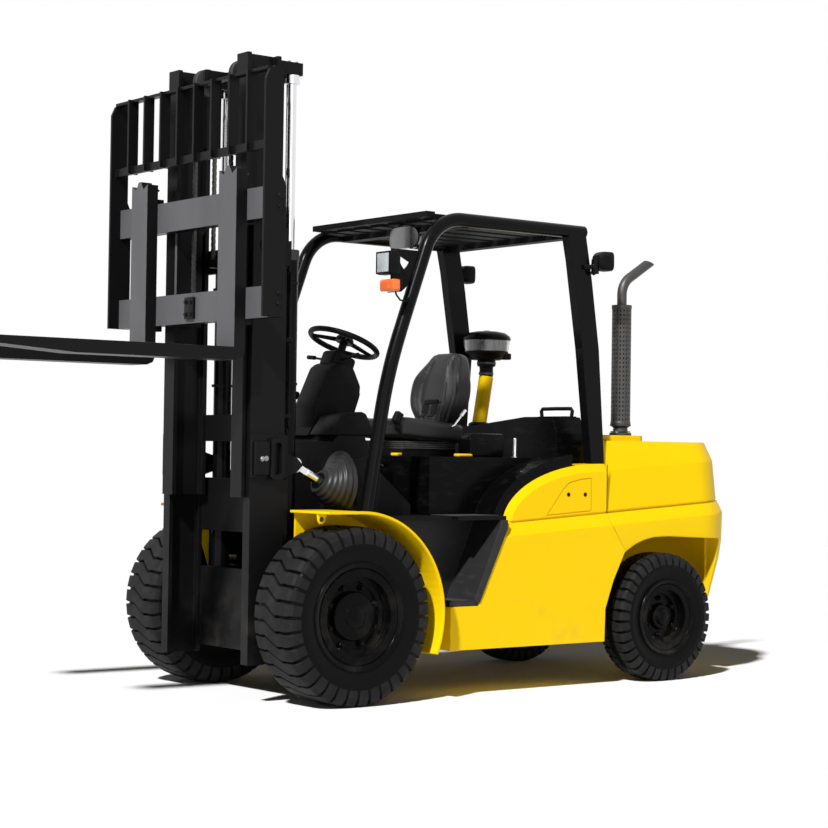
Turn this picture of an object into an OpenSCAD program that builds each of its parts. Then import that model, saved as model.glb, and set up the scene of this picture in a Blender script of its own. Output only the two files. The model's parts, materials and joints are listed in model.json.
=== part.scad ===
// Counterbalance forklift truck with a two-stage mast, forks raised.
// The front axle lies at x = 0 while the pieces are drawn, x forward, y left, z up from the ground.
// The finished truck is then moved along x so that its box is centred on the origin.

/* [Wheels] */
// Distance between the front and rear axles
wheelbase = 2064; // [1950:1:2200]
// Distance between the middles of the front tyres
front_track = 1175; // [1165:1:1240]
// Front tyre diameter over its lugs
front_tyre_d = 840; // [800:1:860]
// Front tyre width
front_tyre_w = 300; // [260:1:304]
// Diameter of the front rim where the tyre sits
front_seat_d = 400; // [380:1:430]
// Distance between the middles of the rear tyres
rear_track = 1145; // [1130:1:1180]
// Rear tyre diameter over its lugs
rear_tyre_d = 676; // [640:1:690]
// Rear tyre width
rear_tyre_w = 190; // [170:1:200]
// Diameter of the rear rim where the tyre sits
rear_seat_d = 310; // [290:1:330]
// Diameter of the front wheel spindles
front_spindle_d = 100; // [80:1:120]
// Diameter of the rear wheel spindles
rear_spindle_d = 70; // [50:1:80]
// Distance between the two kingpins
kingpin_track = 840; // [820:1:860]
// Diameter of a kingpin
kingpin_d = 44; // [36:1:50]

/* [Chassis] */
// Width of the side panels and counterweight
body_w = 1300; // [1260:1:1340]
// Height of the side panels' lower edge
body_bottom_z = 228; // [200:1:250]
// Height of the operator's deck
deck_z = 880; // [860:1:900]
// Thickness of the deck plates
deck_t = 20; // [12:1:24]
// Distance from the front axle back to the counterweight's joint
seam_back = 1660; // [1650:1:1700]
// Distance from the front axle back to the counterweight's rear
tail_back = 2690; // [2640:1:2760]
// Height of the counterweight
counterweight_top_z = 1266; // [1230:1:1300]
// Plan radius of the counterweight's rear corners
tail_corner_r = 330; // [250:1:380]
// Half distance between the outer faces of the frame plates
frame_half_w = 420; // [416:1:424]
// Thickness of the frame plates
frame_t = 15; // [10:1:20]
// Radius of the front mudguards about the front axle
fender_r = 490; // [460:1:510]
// Thickness of the mudguards
fender_t = 12; // [6:1:16]
// Half width over the mudguards
fender_half_w = 745; // [738:1:760]
// Radius of the towing pin's bore
tow_bore_r = 18; // [14:0.5:22]

/* [Operator space] */
// Height of the overhead guard
guard_top_z = 2380; // [2300:1:2450]
// Width over the overhead guard
guard_w = 1108; // [1060:1:1112]
// Radius of the guard's tubes
guard_tube_r = 34; // [28:1:36]
// Radius of the bend at the guard's front
guard_bend_r = 240; // [200:1:270]
// Height of the engine hood
hood_top_z = 1170; // [1140:1:1200]
// Half width of the engine hood
hood_half_w = 450; // [430:1:460]
// Thickness of the hood's walls
hood_t = 15; // [8:1:18]
// Distance from the front axle back to the hood's front wall
hood_front_back = 617; // [600:1:640]
// Height of the dash
dash_z = 1266; // [1220:1:1300]
// Radius of the steering wheel's rim
wheel_rim_r = 190; // [170:1:200]
// Lean of the steering column from upright
column_lean = 22; // [15:1:28]

/* [Mast] */
// Height of the mast rails' lower ends above the ground
mast_bottom_z = 186; // [170:1:200]
// Length of the outer mast rails
outer_rail_l = 2054; // [2030:1:2080]
// Length of the inner mast rails
inner_rail_l = 2088; // [2070:1:2110]
// Distance from the front axle forward to the outer rails
mast_front_gap = 209; // [205:1:225]
// Depth of the rails
rail_depth = 190; // [180:1:200]
// Half width over the outer rails
mast_half_w = 386; // [380:1:390]
// Thickness of the rails' flanges
flange_t = 22; // [16:1:26]
// Thickness of the rails' webs
web_t = 22; // [16:1:24]
// Running gap between the two mast stages
stage_gap = 6; // [5:0.5:8]
// Height of the inner stage above its lowest place, as it stands
lift_now = 785; // [700:1:800]
// Full lift of the inner stage
lift_full = 1500; // [1490:1:1520]
// Radius of the lift cylinders
lift_barrel_r = 45; // [40:1:48]
// Radius of the lift cylinder rods
lift_rod_r = 25; // [20:1:28]
// Radius of the tilt cylinders
tilt_barrel_r = 42; // [36:1:46]
// Radius of the tilt cylinder rods
tilt_rod_r = 22; // [18:1:26]

/* [Carriage and forks] */
// Half length of the carriage bars
bar_half_w = 690; // [660:1:700]
// Height of the carriage bars' sections
bar_h = 145; // [130:1:150]
// Thickness of the carriage bars
bar_t = 60; // [50:1:64]
// Distance between the middles of the carriage bars
bar_pitch = 455; // [440:1:470]
// Length of the fork blades in front of their shanks
fork_l = 1500; // [1200:1:1800]
// Width of a fork
fork_w = 150; // [120:1:160]
// Thickness of a fork
fork_t = 60; // [45:1:65]
// Distance between the middles of the forks
fork_spread = 800; // [600:1:1000]
// Height of the load backrest above the upper carriage bar
backrest_h = 537; // [450:1:600]
// Thickness of the load backrest's plates
backrest_t = 14; // [10:1:15]

/* [Hidden] */
$fn = 48;

// Clearances
run_gap = 0.05;
seat_gap = 0.3;
move_gap = 5;
panel_gap = 3;
tiny = 0.01;
far = 5000;

// Axles
front_r = front_tyre_d / 2;
rear_r = rear_tyre_d / 2;
rear_x = -wheelbase;
front_y = front_track / 2;
rear_y = rear_track / 2;
kingpin_y = kingpin_track / 2;
spindle_r = front_spindle_d / 2;
axle_tube_r = 90;
diff_r = 172;
diff_half_w = 190;
axle_pad_top = front_r + axle_tube_r + 5;

// Frame and body
body_half_w = body_w / 2;
deck_under_z = deck_z - deck_t;
frame_in_y = frame_half_w - frame_t;
fender_wall_y = frame_half_w + 10;
seam_x = -seam_back;
tail_x = -tail_back;
panel_front_x = -600;
step_tread_z = 464;
step_foot_x = -777;
belt_front_x = -965;
belt_front_z = 830;
belt_slope = 0.068;
belt_groove = 10;
belt_crease = -53;
belt_inset = 30;
groove_w = 10;
groove_depth = 6;
belt_seam_z = belt_front_z + (belt_front_x - seam_x) * belt_slope;
panel_top_z = 1144;
panel_top_x = seam_x + 35;
panel_inner_y = 560;
panel_block_x = -1480;
arch_top_z = 760;
rear_room_y = body_half_w - 130;
wheel_sweep_r = norm([rear_r, rear_y - kingpin_y + rear_tyre_w / 2]) + 20;
firewall_x = -140;
firewall_t = 20;
tail_bottom_z = 409;
tow_x = tail_x + 140;
tow_top_z = 740;
frame_rear_x = -1610;
frame_rear_z = 430;
belly_rear_x = -1500;
belly_front_x = -330;
belly_z = 330;
stack_x = -1940;
stack_y = 420;
stack_foot_h = 30;
guard_half_w = guard_w / 2;
guard_y = guard_half_w - guard_tube_r;
guard_leg_y1 = guard_half_w - 6;
guard_swell = 0.5;
guard_rail_z = guard_top_z - guard_tube_r;
pillar_foot_x = -176;
pillar_low_lean = 9.5;
pillar_high_lean = 20;
pillar_bow_z = 1350;
pillar_bow_r = 2400;
pillar_bow_low = [pillar_foot_x - (pillar_bow_z - deck_z) * tan(pillar_low_lean), pillar_bow_z];
pillar_bow_mid = pillar_bow_low - pillar_bow_r * [cos(pillar_low_lean), sin(pillar_low_lean)];
pillar_bow_high = pillar_bow_mid + pillar_bow_r * [cos(pillar_high_lean), sin(pillar_high_lean)];
guard_bend_z = guard_rail_z - guard_bend_r * (1 - sin(pillar_high_lean));
guard_bend_x = pillar_bow_high[0] - (guard_bend_z - pillar_bow_high[1]) * tan(pillar_high_lean);
guard_bend_mid = [guard_bend_x, guard_bend_z] - guard_bend_r * [cos(pillar_high_lean), sin(pillar_high_lean)];
roof_slat_z0 = guard_top_z - 42;
intake_x = -1644;
intake_y = -350;
intake_foot_x = -1577;
intake_sink = 100;
intake_neck_h = 94;
intake_neck_z = counterweight_top_z + 350;
tunnel_rear_x = -525;
tunnel_half_w = 52;

// Hood and seat
hood_front_x = -hood_front_back;
hood_rear_x = -1430;
hood_bottom_z = deck_z + move_gap;
hood_hinge_x = -1441;
hood_hinge_z = hood_top_z - 20;
hood_pin_r = 8;
hood_lug_r = 13;
cover_front_x = -1460;
cover_top_z = 1386;
cover_shelf_z = 1340;
seat_x0 = -1040;
seat_x1 = -600;
seat_base_h = 78;
cushion_h = 110;

// Steering
steer_x = -408;
steer_z = 1737;
column_base_x = steer_x + (steer_z - dash_z) * tan(column_lean);

// Mast stages
outer_x0 = mast_front_gap;
outer_x1 = outer_x0 + rail_depth;
outer_top_z = mast_bottom_z + outer_rail_l;
outer_web_y = mast_half_w - web_t;
outer_flange_y = outer_web_y - 34;
inner_x0 = outer_x0 + flange_t + stage_gap;
inner_x1 = outer_x1 + stage_gap + flange_t;
inner_web_y1 = outer_flange_y - 12;
inner_web_y0 = inner_web_y1 - web_t;
inner_flange_y0 = inner_web_y0 - 34;
inner_flange_y1 = outer_web_y - 10;
inner_low_z = mast_bottom_z - 5;
inner_z0 = inner_low_z + lift_now;
inner_z1 = inner_z0 + inner_rail_l;
outer_cavity_x = (outer_x0 + outer_x1) / 2;
inner_cavity_x = (inner_x0 + inner_x1) / 2;
outer_roller_r = rail_depth / 2 - flange_t - seat_gap;
inner_roller_r = (inner_x1 - inner_x0) / 2 - flange_t - seat_gap;
cross_t = 24;
outer_cross_x = outer_x0 - cross_t;
inner_cross_x = inner_x0 - 20;
anchor_drop = 159;
anchor_z0 = outer_top_z - anchor_drop;
anchor_h = 38;
inner_plate_h = 130;
inner_plate_z0 = anchor_z0 - stage_gap - inner_plate_h - (lift_full - lift_now);
hanger_r = 135;
hanger_y0 = 300;
hanger_w = 45;

// Lift cylinders and chains
lift_x = outer_cross_x - lift_barrel_r - 10;
lift_y = 284;
barrel_z0 = 560;
barrel_z1 = inner_z1 - 114 - lift_now - 15;
rod_head_z = inner_z1 - 69;
rod_tail_z = barrel_z0 + 15 + lift_now;
head_block_h = 60;
sheave_z = rod_head_z;
sheave_r = 47;
sheave_flange_r = 66;
chain_t = 16;
chain_w = 24;
chain_y = 160;
sheave_cheek = 6;
chain_pitch = 38;
chain_neck = 4;

// Carriage, with its lower bar's underside as its base
fork_low_z = 30;
fork_bottom_z = fork_low_z + 2 * lift_now;
fork_top_z = fork_bottom_z + fork_t;
bar_low_z = fork_bottom_z + 190;
bar_high_z = bar_low_z + bar_pitch;
bar_x0 = inner_x1 + 10;
bar_x1 = bar_x0 + bar_t;
plate_t = 20;
plate_y1 = inner_flange_y0 - 6;
plate_y0 = plate_y1 - plate_t;
fork_x1 = bar_x1 + fork_t;
fork_tip_x = fork_x1 + fork_l;
shank_top_z = bar_high_z + bar_h + 110;
backrest_x0 = bar_x0;
backrest_deep = fork_x1 - bar_x0 - 2;
backrest_top_z = bar_high_z + bar_h + backrest_h;
backrest_rail_z = shank_top_z + 55;

// Tilt cylinders
tilt_y = 356;
tilt_eye_x = 130;
tilt_eye_z = 1120;
tilt_base_x = -620;
tilt_base_z = 730;
tilt_len = norm([tilt_eye_x - tilt_base_x, tilt_eye_z - tilt_base_z]);
tilt_angle = atan2(tilt_eye_z - tilt_base_z, tilt_eye_x - tilt_base_x);
tilt_barrel_l = tilt_len - 155;
tilt_pin_r = 18;
tilt_base_pin_r = 15;
tilt_eye_r = 36;
tilt_eye_gap = 5;
tilt_eye_w = 26;
tilt_neck_l = 78;

// Middle of the truck's box along x
mid_x = (fork_tip_x + tail_x) / 2;

// Colours
yellow = [0.96, 0.76, 0.05];
black = [0.08, 0.08, 0.085];
dark = [0.16, 0.16, 0.17];
grey = [0.45, 0.45, 0.46];
chrome = [0.8, 0.8, 0.82];
rubber = [0.05, 0.05, 0.05];
amber = [0.95, 0.45, 0.05];

// Helpers

// Places a finished piece in the truck's own frame
module truck() {
    translate([-mid_x, 0, 0]) children();
}

// A piece and its mirror image on the other side
module both_sides() {
    children();
    mirror([0, 1, 0]) children();
}

// The piece on the left, or its mirror image on the right
module on_side(side) {
    if (side > 0) {
        children();
    } else {
        mirror([0, 1, 0]) children();
    }
}

// Box from its low corner to its high corner
module box(low, high) {
    translate(low) cube(high - low);
}

// Outline in x and z, drawn out along y
module side_prism(points, y0, y1) {
    translate([0, y1, 0]) rotate([90, 0, 0]) linear_extrude(y1 - y0) polygon(points);
}

// Round bar along y
module y_bar(r, x, z, y0, y1) {
    translate([x, y0, z]) rotate([-90, 0, 0]) cylinder(r = r, h = y1 - y0);
}

// Round bar between two points
module bar_between(p, q, r) {
    d = q - p;
    translate(p) rotate([0, acos(d[2] / norm(d)), atan2(d[1], d[0])]) cylinder(r = r, h = norm(d));
}

// Profile in radius and y, turned about an axle along y
module y_turned(x, y, z) {
    translate([x, y, z]) rotate([-90, 0, 0]) rotate_extrude($fn = 96) children();
}

// Points on an arc in x and z
function arc(cx, cz, r, a0, a1, n) =
    [for (i = [0:n]) [cx + r * cos(a0 + (a1 - a0) * i / n), cz + r * sin(a0 + (a1 - a0) * i / n)]];

// Upper edge of a side panel, a quarter of an ellipse, raised by a given amount
function panel_curve(rise, n) =
    [for (i = [0:n])
        let (a = 90 * i / n)
        [panel_top_x + (belt_front_x - panel_top_x + rise) * cos(a),
         belt_front_z + (panel_top_z - belt_front_z + rise) * sin(a)]];

// Rear edge of a side panel, from the panel's top down to the wheel arch
function seam_line(gap) = [
    [seam_x + gap, panel_top_z],
    [seam_x + gap, belt_front_z + 60],
    [seam_x - 20 + gap, belt_front_z - 12],
    [seam_x - 109 + gap, belt_front_z - 139]];

// The middle of the guard's front tube at a height on its upper straight length
function pillar_x(z) = pillar_bow_high[0] - (z - pillar_bow_high[1]) * tan(pillar_high_lean);

// Chassis pieces

module frame_plate() {
    side_prism([
        [110, axle_pad_top],
        [110, deck_under_z],
        [frame_rear_x, deck_under_z],
        [frame_rear_x, frame_rear_z],
        [belly_rear_x, belly_z],
        [belly_front_x, belly_z],
        [-135, axle_pad_top]], frame_in_y, frame_half_w);
}

module frame() {
    tongue_half_w = 85;
    tongue_z0 = 560;
    tongue_reach = 120;
    rear_plate_t = 20;
    belly_t = 15;
    color(black) truck() {
        difference() {
            union() {
                both_sides() frame_plate();
                box([firewall_x, -frame_in_y - tiny, axle_pad_top + 50],
                    [firewall_x + firewall_t, frame_in_y + tiny, deck_under_z]);
                box([frame_rear_x, -frame_in_y - tiny, frame_rear_z],
                    [frame_rear_x + rear_plate_t, frame_in_y + tiny, deck_under_z]);
                box([belly_rear_x, -frame_in_y - tiny, belly_z],
                    [belly_front_x, frame_in_y + tiny, belly_z + belly_t]);
                box([rear_x - tongue_reach, -tongue_half_w, tongue_z0],
                    [frame_rear_x + rear_plate_t / 2, tongue_half_w, arch_top_z]);
                both_sides() y_bar(tilt_base_pin_r, tilt_base_x, tilt_base_z, tilt_y - 40, frame_in_y + tiny);
            }
            both_sides() box([firewall_x - 1, tilt_y - 50, 700], [firewall_x + firewall_t + 1, tilt_y + 50, far]);
        }
    }
}

module front_axle() {
    color(dark) truck() {
        y_bar(axle_tube_r, 0, front_r, -fender_wall_y, fender_wall_y);
        diff_housing();
        both_sides() box([-80, frame_in_y, front_r], [80, frame_half_w, axle_pad_top]);
        both_sides() y_bar(spindle_r, 0, front_r, fender_wall_y - 1, front_y + 88);
        both_sides() y_bar(150, 0, front_r, fender_wall_y - 1, fender_wall_y + 40);
    }
}

// Bulged housing round the differential
module diff_housing() {
    y_turned(0, 0, front_r) polygon([
        [0, -diff_half_w],
        [axle_tube_r + 10, -diff_half_w],
        [diff_r, -80],
        [diff_r, 80],
        [axle_tube_r + 10, diff_half_w],
        [0, diff_half_w]]);
}

module engine_block() {
    color(grey) truck() {
        box([-1400, -240, 345], [-690, 240, 1000]);
        box([-700, -170, 345], [-200, 170, 680]);
    }
}

module steer_axle() {
    ear_r = 45;
    beam_half_d = 50;
    beam_z0 = rear_r - 102;
    beam_z1 = rear_r + 102;
    arm_t = 40;
    beam_y = kingpin_y - 75;
    color(dark) truck() difference() {
        union() {
            box([rear_x - beam_half_d, -beam_y, beam_z0], [rear_x + beam_half_d, beam_y, beam_z1]);
            both_sides() {
                box([rear_x - ear_r, beam_y - 1, beam_z0], [rear_x + ear_r, kingpin_y, beam_z0 + arm_t]);
                box([rear_x - ear_r, beam_y - 1, beam_z1 - arm_t], [rear_x + ear_r, kingpin_y, beam_z1]);
                translate([rear_x, kingpin_y, beam_z0]) cylinder(r = ear_r, h = arm_t);
                translate([rear_x, kingpin_y, beam_z1 - arm_t]) cylinder(r = ear_r, h = arm_t);
            }
            box([rear_x - 45, -70, beam_z1 - 1], [rear_x + 45, 70, 560]);
        }
        both_sides() translate([rear_x, kingpin_y, 0]) cylinder(r = kingpin_d / 2 + run_gap, h = far);
    }
}

// Plan outline of the counterweight, drawn in from its edge
function tail_plan(inset) = concat(
    [[seam_x + 200, body_half_w - inset]],
    arc(tail_x + tail_corner_r, body_half_w - tail_corner_r, tail_corner_r - inset, 90, 180, 16),
    arc(tail_x + tail_corner_r, tail_corner_r - body_half_w, tail_corner_r - inset, 180, 270, 16),
    [[seam_x + 200, inset - body_half_w]]);

// Level slice of the counterweight, drawn in by an amount
module tail_slice(inset, z) {
    translate([0, 0, z]) linear_extrude(tiny) polygon(tail_plan(inset));
}

// Slice of the counterweight along the belt line
module belt_slice(inset, rise) {
    translate([seam_x, 0, belt_seam_z + rise]) rotate([0, atan(belt_slope), 0]) translate([-seam_x, 0, 0])
        linear_extrude(tiny) polygon(tail_plan(inset));
}

// Everything above the belt line that rises towards the rear
module above_belt(rise) {
    translate([seam_x, 0, belt_seam_z + rise])
        rotate([0, atan(belt_slope), 0]) translate([-far, -far, 0]) cube([2 * far, 2 * far, far]);
}

module counterweight_shell() {
    foot_inset = 75;
    low_z = 640;
    low_inset = 18;
    waist_z = 735;
    waist_inset = 5;
    upper_inset = 36;
    crease_rise = 231;
    crease_inset = 58;
    top_inset = 105;
    hull() {
        tail_slice(foot_inset, tail_bottom_z);
        tail_slice(low_inset, low_z);
    }
    hull() {
        tail_slice(low_inset, low_z);
        tail_slice(waist_inset, waist_z);
    }
    hull() {
        tail_slice(waist_inset, waist_z);
        belt_slice(0, belt_crease);
    }
    hull() {
        belt_slice(0, belt_crease);
        belt_slice(belt_inset, belt_groove);
    }
    hull() {
        belt_slice(upper_inset + groove_depth, belt_groove - tiny);
        belt_slice(upper_inset + groove_depth, belt_groove + groove_w + tiny);
    }
    hull() {
        belt_slice(upper_inset, belt_groove + groove_w);
        belt_slice(crease_inset, crease_rise);
    }
    hull() {
        belt_slice(crease_inset, crease_rise);
        tail_slice(top_inset, counterweight_top_z - tiny);
    }
}

// Room for a steered rear wheel under the counterweight, as high as the wheel arch
module rear_wheel_room() {
    intersection() {
        union() {
            translate([rear_x, kingpin_y, 0]) cylinder(r = wheel_sweep_r, h = far, $fn = 96);
            box([rear_x - wheel_sweep_r, rear_room_y, 0], [far, far, far]);
        }
        side_prism([
            [rear_x - wheel_sweep_r - 1, 0],
            [rear_x - wheel_sweep_r - 1, arch_top_z - 14],
            [rear_x - 15, arch_top_z + 4],
            [rear_x + 88, arch_top_z + 1],
            [rear_x + 159, arch_top_z - 13],
            [rear_x + 219, arch_top_z - 34],
            [rear_x + 296, arch_top_z - 79],
            [rear_x + 460, arch_top_z - 200],
            [rear_x + 460, 0]], 0, far);
    }
}

module counterweight() {
    color(yellow) truck() difference() {
        union() {
            difference() {
                counterweight_shell();
                side_prism(concat([[0, far], [seam_x, far]], seam_line(0), [[seam_x - 109, 0], [0, 0]]), -far, far);
            }
            side_prism([
                [seam_x - 40, counterweight_top_z - 30],
                [seam_x - 46, counterweight_top_z + 24],
                [seam_x - 56, counterweight_top_z + stack_foot_h],
                [stack_x - 66, counterweight_top_z + stack_foot_h],
                [stack_x - 78, counterweight_top_z + stack_foot_h - 10],
                [stack_x - 84, counterweight_top_z - 30]], stack_y - 90, stack_y + 80);
            translate([stack_x - 130, stack_y - 20, counterweight_top_z - 20]) cylinder(r = 38, h = 50);
        }
        box([rear_x - 130, -rear_room_y, 0], [far, rear_room_y, arch_top_z]);
        both_sides() rear_wheel_room();
        box([tail_x - 10, -90, 560], [tow_x + 90, 90, 660]);
        translate([tow_x, 0, 0]) cylinder(r = tow_bore_r, h = tow_top_z);
    }
}

// A side panel's outline, which the belt and the wheel arch cut into
function panel_outline() = concat(
    [[panel_front_x, body_bottom_z], [panel_front_x, step_tread_z - 24], [step_foot_x, step_tread_z - 24]],
    panel_curve(0, 18),
    seam_line(panel_gap),
    [[rear_x + wheel_sweep_r - 59, 540], [rear_x + wheel_sweep_r - 4, 396], [rear_x + wheel_sweep_r, body_bottom_z]]);

// Upper part of a side panel's outline, drawn in along its curve
function upper_outline(drop) = concat(
    panel_curve(-drop, 18),
    [[seam_x + panel_gap, panel_top_z - drop], [seam_x + panel_gap, belt_front_z - drop]]);

// What lies outside the bevel below the belt groove, and outside the upper skin
module belt_cut() {
    skin_y = body_half_w - belt_inset;
    translate([seam_x, 0, belt_seam_z]) rotate([0, atan(belt_slope), 0]) translate([-far, 0, 0])
        rotate([90, 0, 90]) linear_extrude(2 * far) polygon([
            [body_half_w, belt_crease],
            [skin_y, belt_groove],
            [skin_y - groove_depth, belt_groove],
            [skin_y - groove_depth, belt_groove + groove_w],
            [skin_y, belt_groove + groove_w],
            [skin_y, far],
            [far, far],
            [far, belt_crease]]);
}

// Outline of the access door in a side panel, drawn in from its edge
function door_outline(inset) = [
    [-1240 - 2.4 * inset, 878 + inset],
    [-1545 + inset, 899 + inset],
    [-1553 + inset, 907 + inset],
    [-1551 + inset, 1071 - inset],
    [-1470, 1064 - inset],
    [-1392 - inset, 1046 - inset],
    [-1355 - inset, 1014 - inset]];

module side_panel(side) {
    skin_y = body_half_w - belt_inset;
    edge_deep = 20;
    edge_drop = 42;
    door_gap = 4;
    color(yellow) truck() on_side(side) difference() {
        union() {
            side_prism(panel_outline(), frame_half_w, skin_y - edge_deep);
            difference() {
                side_prism(panel_outline(), skin_y - edge_deep - tiny, body_half_w);
                above_belt(belt_groove);
            }
            intersection() {
                hull() {
                    side_prism(upper_outline(0), skin_y - edge_deep - tiny, skin_y - edge_deep);
                    side_prism(upper_outline(edge_drop), skin_y - tiny, skin_y);
                }
                above_belt(belt_groove - 1);
            }
        }
        belt_cut();
        box([panel_block_x, 0, deck_under_z], [0, panel_inner_y, far]);
        box([-far, 0, deck_under_z], [0, 480, far]);
        difference() {
            side_prism(door_outline(0), skin_y - 4, far);
            side_prism(door_outline(door_gap), 0, far);
        }
    }
}

module side_panel_left() {
    side_panel(1);
}

module side_panel_right() {
    side_panel(-1);
}

// Room for the front wheels under the mudguards, out from the frame
module front_wheel_room() {
    both_sides() y_bar(fender_r + seat_gap, 0, front_r, frame_half_w - 1, far, $fn = 96);
}

module steps() {
    wall_t = 20;
    color(dark) truck() difference() {
        step_shells(wall_t);
        front_wheel_room();
    }
}

// The steps before the front wheels' room is cut out of them
module step_shells(wall_t) {
    both_sides() {
        side_prism([
            [-300, deck_under_z],
            [-300, 760],
            [-500, 560],
            [panel_front_x + 30, step_tread_z],
            [step_foot_x - 2, step_tread_z],
            [belt_front_x + 12, belt_front_z - 12],
            [belt_front_x + 12, deck_under_z]], frame_half_w, frame_half_w + wall_t);
        box([step_foot_x + panel_gap, frame_half_w, step_tread_z - 24], [panel_front_x, body_half_w - 8, step_tread_z]);
        side_prism([
            [step_foot_x - 2, step_tread_z],
            [step_foot_x + 34, step_tread_z],
            [belt_front_x + 48, deck_under_z],
            [belt_front_x + 12, deck_under_z],
            [belt_front_x + 12, belt_front_z - 12]], frame_half_w + wall_t, body_half_w + 8);
    }
}

module deck() {
    color(dark) truck() difference() {
        union() {
            box([hood_front_x - 30, -body_half_w + 40, deck_under_z], [firewall_x, body_half_w - 40, deck_z]);
            both_sides() box([belt_front_x + 12, hood_half_w - 30, deck_under_z],
                [hood_front_x - 29, body_half_w - 6, deck_z]);
        }
        both_sides() box([tunnel_rear_x + 15, tilt_y - tunnel_half_w, 0], [1, tilt_y + tunnel_half_w, far]);
        front_wheel_room();
    }
}

module fenders() {
    flat_front_x = 200;
    wall_front_x = flat_front_x - 30;
    end_angle = 180 + asin((front_r - 225) / fender_r);
    color(yellow) truck() both_sides() {
        side_prism(concat(
            [[flat_front_x, front_r + fender_r]],
            arc(0, front_r, fender_r, 90, end_angle, 24),
            arc(0, front_r, fender_r - fender_t, end_angle, 90, 24),
            [[flat_front_x, front_r + fender_r - fender_t]]), fender_wall_y, fender_half_w);
        side_prism(concat(
            arc(0, front_r, fender_r - fender_t + tiny, 90, 150, 16),
            [[-200, axle_pad_top + 60], [100, axle_pad_top + 60], [wall_front_x, front_r + fender_r - 130],
                [wall_front_x, front_r + fender_r - fender_t + tiny]]),
            frame_half_w, fender_wall_y);
    }
}

module cowl() {
    wall_t = 10;
    wing_y0 = tilt_y - tunnel_half_w - wall_t;
    wing_y1 = tilt_y + tunnel_half_w + wall_t;
    wing_z = 1150;
    knee_x = -260;
    tunnel_low_z = 930;
    panel_t = 24;
    color(black) truck() difference() {
        union() {
            cowl_block(wing_y0);
            both_sides() side_prism([
                [firewall_x, deck_z],
                [firewall_x, wing_z],
                [knee_x, wing_z],
                [tunnel_rear_x, tunnel_low_z],
                [tunnel_rear_x, deck_z]], wing_y0 - tiny, wing_y1);
            both_sides() box([firewall_x - panel_t, wing_y1 - tiny, deck_z], [firewall_x, guard_half_w - 90, 1080]);
        }
        both_sides() side_prism([
            [firewall_x + 1, 0],
            [firewall_x + 1, wing_z - panel_t],
            [knee_x, wing_z - panel_t],
            [tunnel_rear_x + panel_t, tunnel_low_z - panel_t / 2],
            [tunnel_rear_x + panel_t, 0]], tilt_y - tunnel_half_w, tilt_y + tunnel_half_w);
        front_wheel_room();
    }
}

// Middle of the cowl, under the dash
module cowl_block(half_w) {
    side_prism([
        [firewall_x, deck_z],
        [firewall_x, dash_z - 30],
        [firewall_x - 30, dash_z],
        [-330, dash_z],
        [-350, dash_z - 60],
        [-250, 1080],
        [-230, deck_z]], -half_w, half_w);
}

module steering_column() {
    collar_r = 42;
    shaft_r = 20;
    hub_drop = 60;
    overlap = 20;
    end_x = steer_x + hub_drop * sin(column_lean);
    end_z = steer_z - hub_drop * cos(column_lean);
    color(black) truck() difference() {
        union() {
            bar_between([column_base_x + 40 * tan(column_lean), 0, dash_z - 40], [end_x, 0, end_z], collar_r);
            side_prism([
                [column_base_x + 75, dash_z],
                [column_base_x - 85, dash_z],
                [column_base_x - 175, dash_z + 210],
                [column_base_x - 60, dash_z + 240]], -75, 75);
            bar_between([end_x + overlap * tan(column_lean), 0, end_z - overlap], [steer_x, 0, steer_z], shaft_r);
        }
        box([-far, -far, 0], [far, far, dash_z]);
    }
}

module radiator_cover() {
    half_w = 474;
    lug_r = hood_pin_r + 1;
    top_half_w = hood_half_w - move_gap - 1;
    cover_crest_y = 190;
    cover_shelf_y = 250;
    rear_x0 = seam_x + 4;
    color(black) truck() {
        difference() {
            translate([rear_x0, 0, 0]) rotate([90, 0, 90]) linear_extrude(cover_front_x - rear_x0) polygon([
                [-half_w, deck_under_z],
                [half_w, deck_under_z],
                [half_w, hood_hinge_z - 30],
                [top_half_w, hood_hinge_z - 10],
                [top_half_w, cover_shelf_z - 40],
                [top_half_w - 34, cover_top_z],
                [cover_crest_y, cover_top_z],
                [-cover_shelf_y, cover_shelf_z],
                [30 - top_half_w, cover_shelf_z],
                [-top_half_w, cover_shelf_z - 50],
                [-top_half_w, hood_hinge_z - 10],
                [-half_w, hood_hinge_z - 30]]);
            box([-1620, -360, 0], [-1490, 360, cover_shelf_z - 40]);
        }
        both_sides() {
            box([cover_front_x - 1, 180, hood_hinge_z - lug_r], [hood_hinge_x, 195, hood_hinge_z + lug_r]);
            y_bar(lug_r, hood_hinge_x, hood_hinge_z, 180, 195);
            y_bar(hood_pin_r, hood_hinge_x, hood_hinge_z, 180, 240);
        }
    }
}

// A bend of the guard's tube about a middle in the side plane
module guard_arc(mid, r, start, turn, steps) {
    translate([mid[0], guard_y, mid[1]]) rotate([90, 0, 0]) rotate([0, 0, start])
        rotate_extrude(angle = turn, $fn = steps) translate([r, 0]) circle(r = guard_tube_r + guard_swell, $fn = 48);
}

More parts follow.
